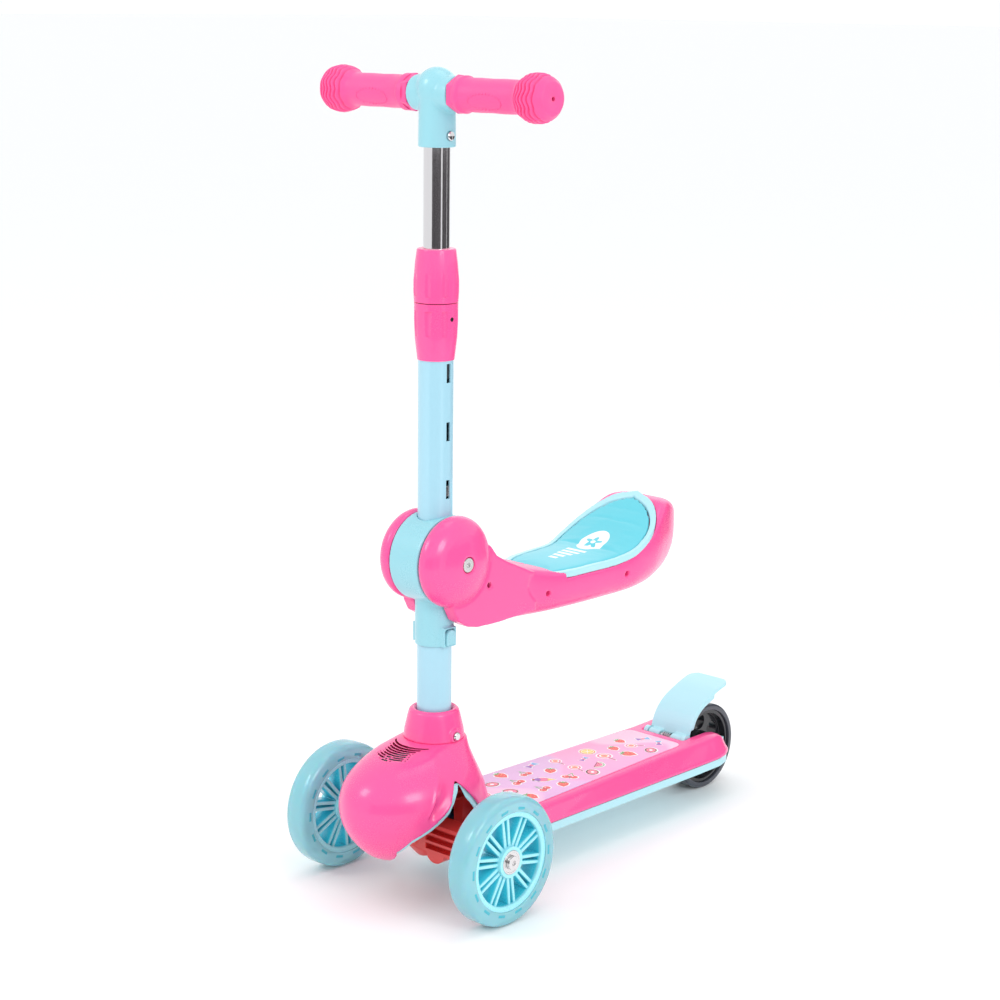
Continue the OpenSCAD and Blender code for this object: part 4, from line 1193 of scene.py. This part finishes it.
def lolly():
    return [("brown", strip(0, -8, 0, -2, 0.8)), ("rose", disc(0, 1.4, 4.2)),
            ("white", disc(0, 1.4, 3.0)), ("orange", disc(0, 1.4, 2.1)), ("rose", disc(0, 1.4, 1.0))]


def cone():
    return [("yellow", [(-2.6, 0), (2.6, 0), (0, -6.5)]), ("rose", disc(0, 1.2, 3.2)),
            ("violet", disc(0, 4.2, 2.3)), ("red", disc(0, 6.6, 0.8, count=10))]


def ring_cake():
    return [("brown", disc(0, 0, 4.8, 0.8)), ("rose", disc(0, 0.3, 4.2, 0.75)),
            ("white", disc(0, 0.2, 1.5, 0.8))] + [
        ("yellow", strip(3 * math.cos(a) - 0.5, 2.3 * math.sin(a), 3 * math.cos(a) + 0.5,
                         2.3 * math.sin(a) + 0.4, 0.4)) for a in (0.3, 1.5, 2.6, 3.9, 5.2)]


def muffin():
    return [("violet", [(-3, -0.5), (3, -0.5), (2.1, -5), (-2.1, -5)]),
            ("yellow", disc(0, 0, 4, 0.9, 0, math.pi)), ("orange", disc(0, 1.6, 2.8, 0.8, 0, math.pi)),
            ("red", disc(0, 4.2, 0.9, count=10))]


def bow():
    return [("blue", [(0, 0), (4.6, 2.6), (4.6, -2.6)]), ("violet", [(0, 0), (-4.6, 2.6), (-4.6, -2.6)]),
            ("rose", disc(0, 0, 1.3, count=12))]


SHAPES = [berry, citrus, melon, cherries, lolly, cone, ring_cake, muffin, bow]


# %% Stickers on the deck
def outward(line, by):
    """A closed outline grown by a distance from its middle."""
    mid = sum((Vector(p) for p in line), Vector((0, 0))) / len(line)
    return [tuple(Vector(p) + (Vector(p) - mid).normalized() * by) for p in line]


chance = random.Random(11)
names = list(INKS)
points, faces, which = [], [], []


def lay(line, x, y, turn, scale, layer, colour):
    first = len(points)
    for u, v in line:
        u, v = u * scale, v * scale
        points.append((x + (u * math.cos(turn) - v * math.sin(turn)) * MM,
                       y + (u * math.sin(turn) + v * math.cos(turn)) * MM,
                       sheet_high.z + (0.04 + 0.03 * layer) * MM))
    faces.append(tuple(range(first, len(points))))
    which.append(names.index(colour))


for row in range(11):
    along = 97 + row * 23.6
    reach = 43 - max(along - 120, 0) * 0.042
    for column in range(3):
        x = (column - 1 + chance.uniform(-0.1, 0.1) + (0.22 if row % 2 else -0.22)) * reach * 0.60
        if abs(x) > reach - 9:
            continue
        y = nose_foot.y + (along + chance.uniform(-2.5, 2.5)) * MM
        turn, scale = chance.uniform(-0.9, 0.9) + math.pi / 2, chance.uniform(1.25, 1.75)
        drawing = SHAPES[(row * 4 + column * 2 + chance.randrange(3)) % len(SHAPES)]()
        for _, line in drawing:
            lay(outward(line, 0.9), x * MM, y, turn, scale, 0, "white")
        for layer, (colour, line) in enumerate(drawing):
            lay(line, x * MM, y, turn, scale, 1 + layer, colour)
stickers = add_mesh("deck_stickers", points, faces)
for material in inks.values():
    stickers.data.materials.append(material)
stickers.data.polygons.foreach_set("material_index", which)
for face in stickers.data.polygons:
    if face.normal.z < 0:
        face.flip()
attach(stickers, "root")
print(len(faces), "printed shapes")

# %% [markdown]
# ## Finish
# Every frame part still shown gets a finish.

# %% Finish
for name, part in frame["nodes"].items():
    if not part.hide_render and not part.data.materials[0].name.startswith("zinc"):
        print("frame part still shown:", name)
        part.data.materials.clear()
        part.data.materials.append(zinc)
bpy.context.scene.view_settings.view_transform = "Standard"
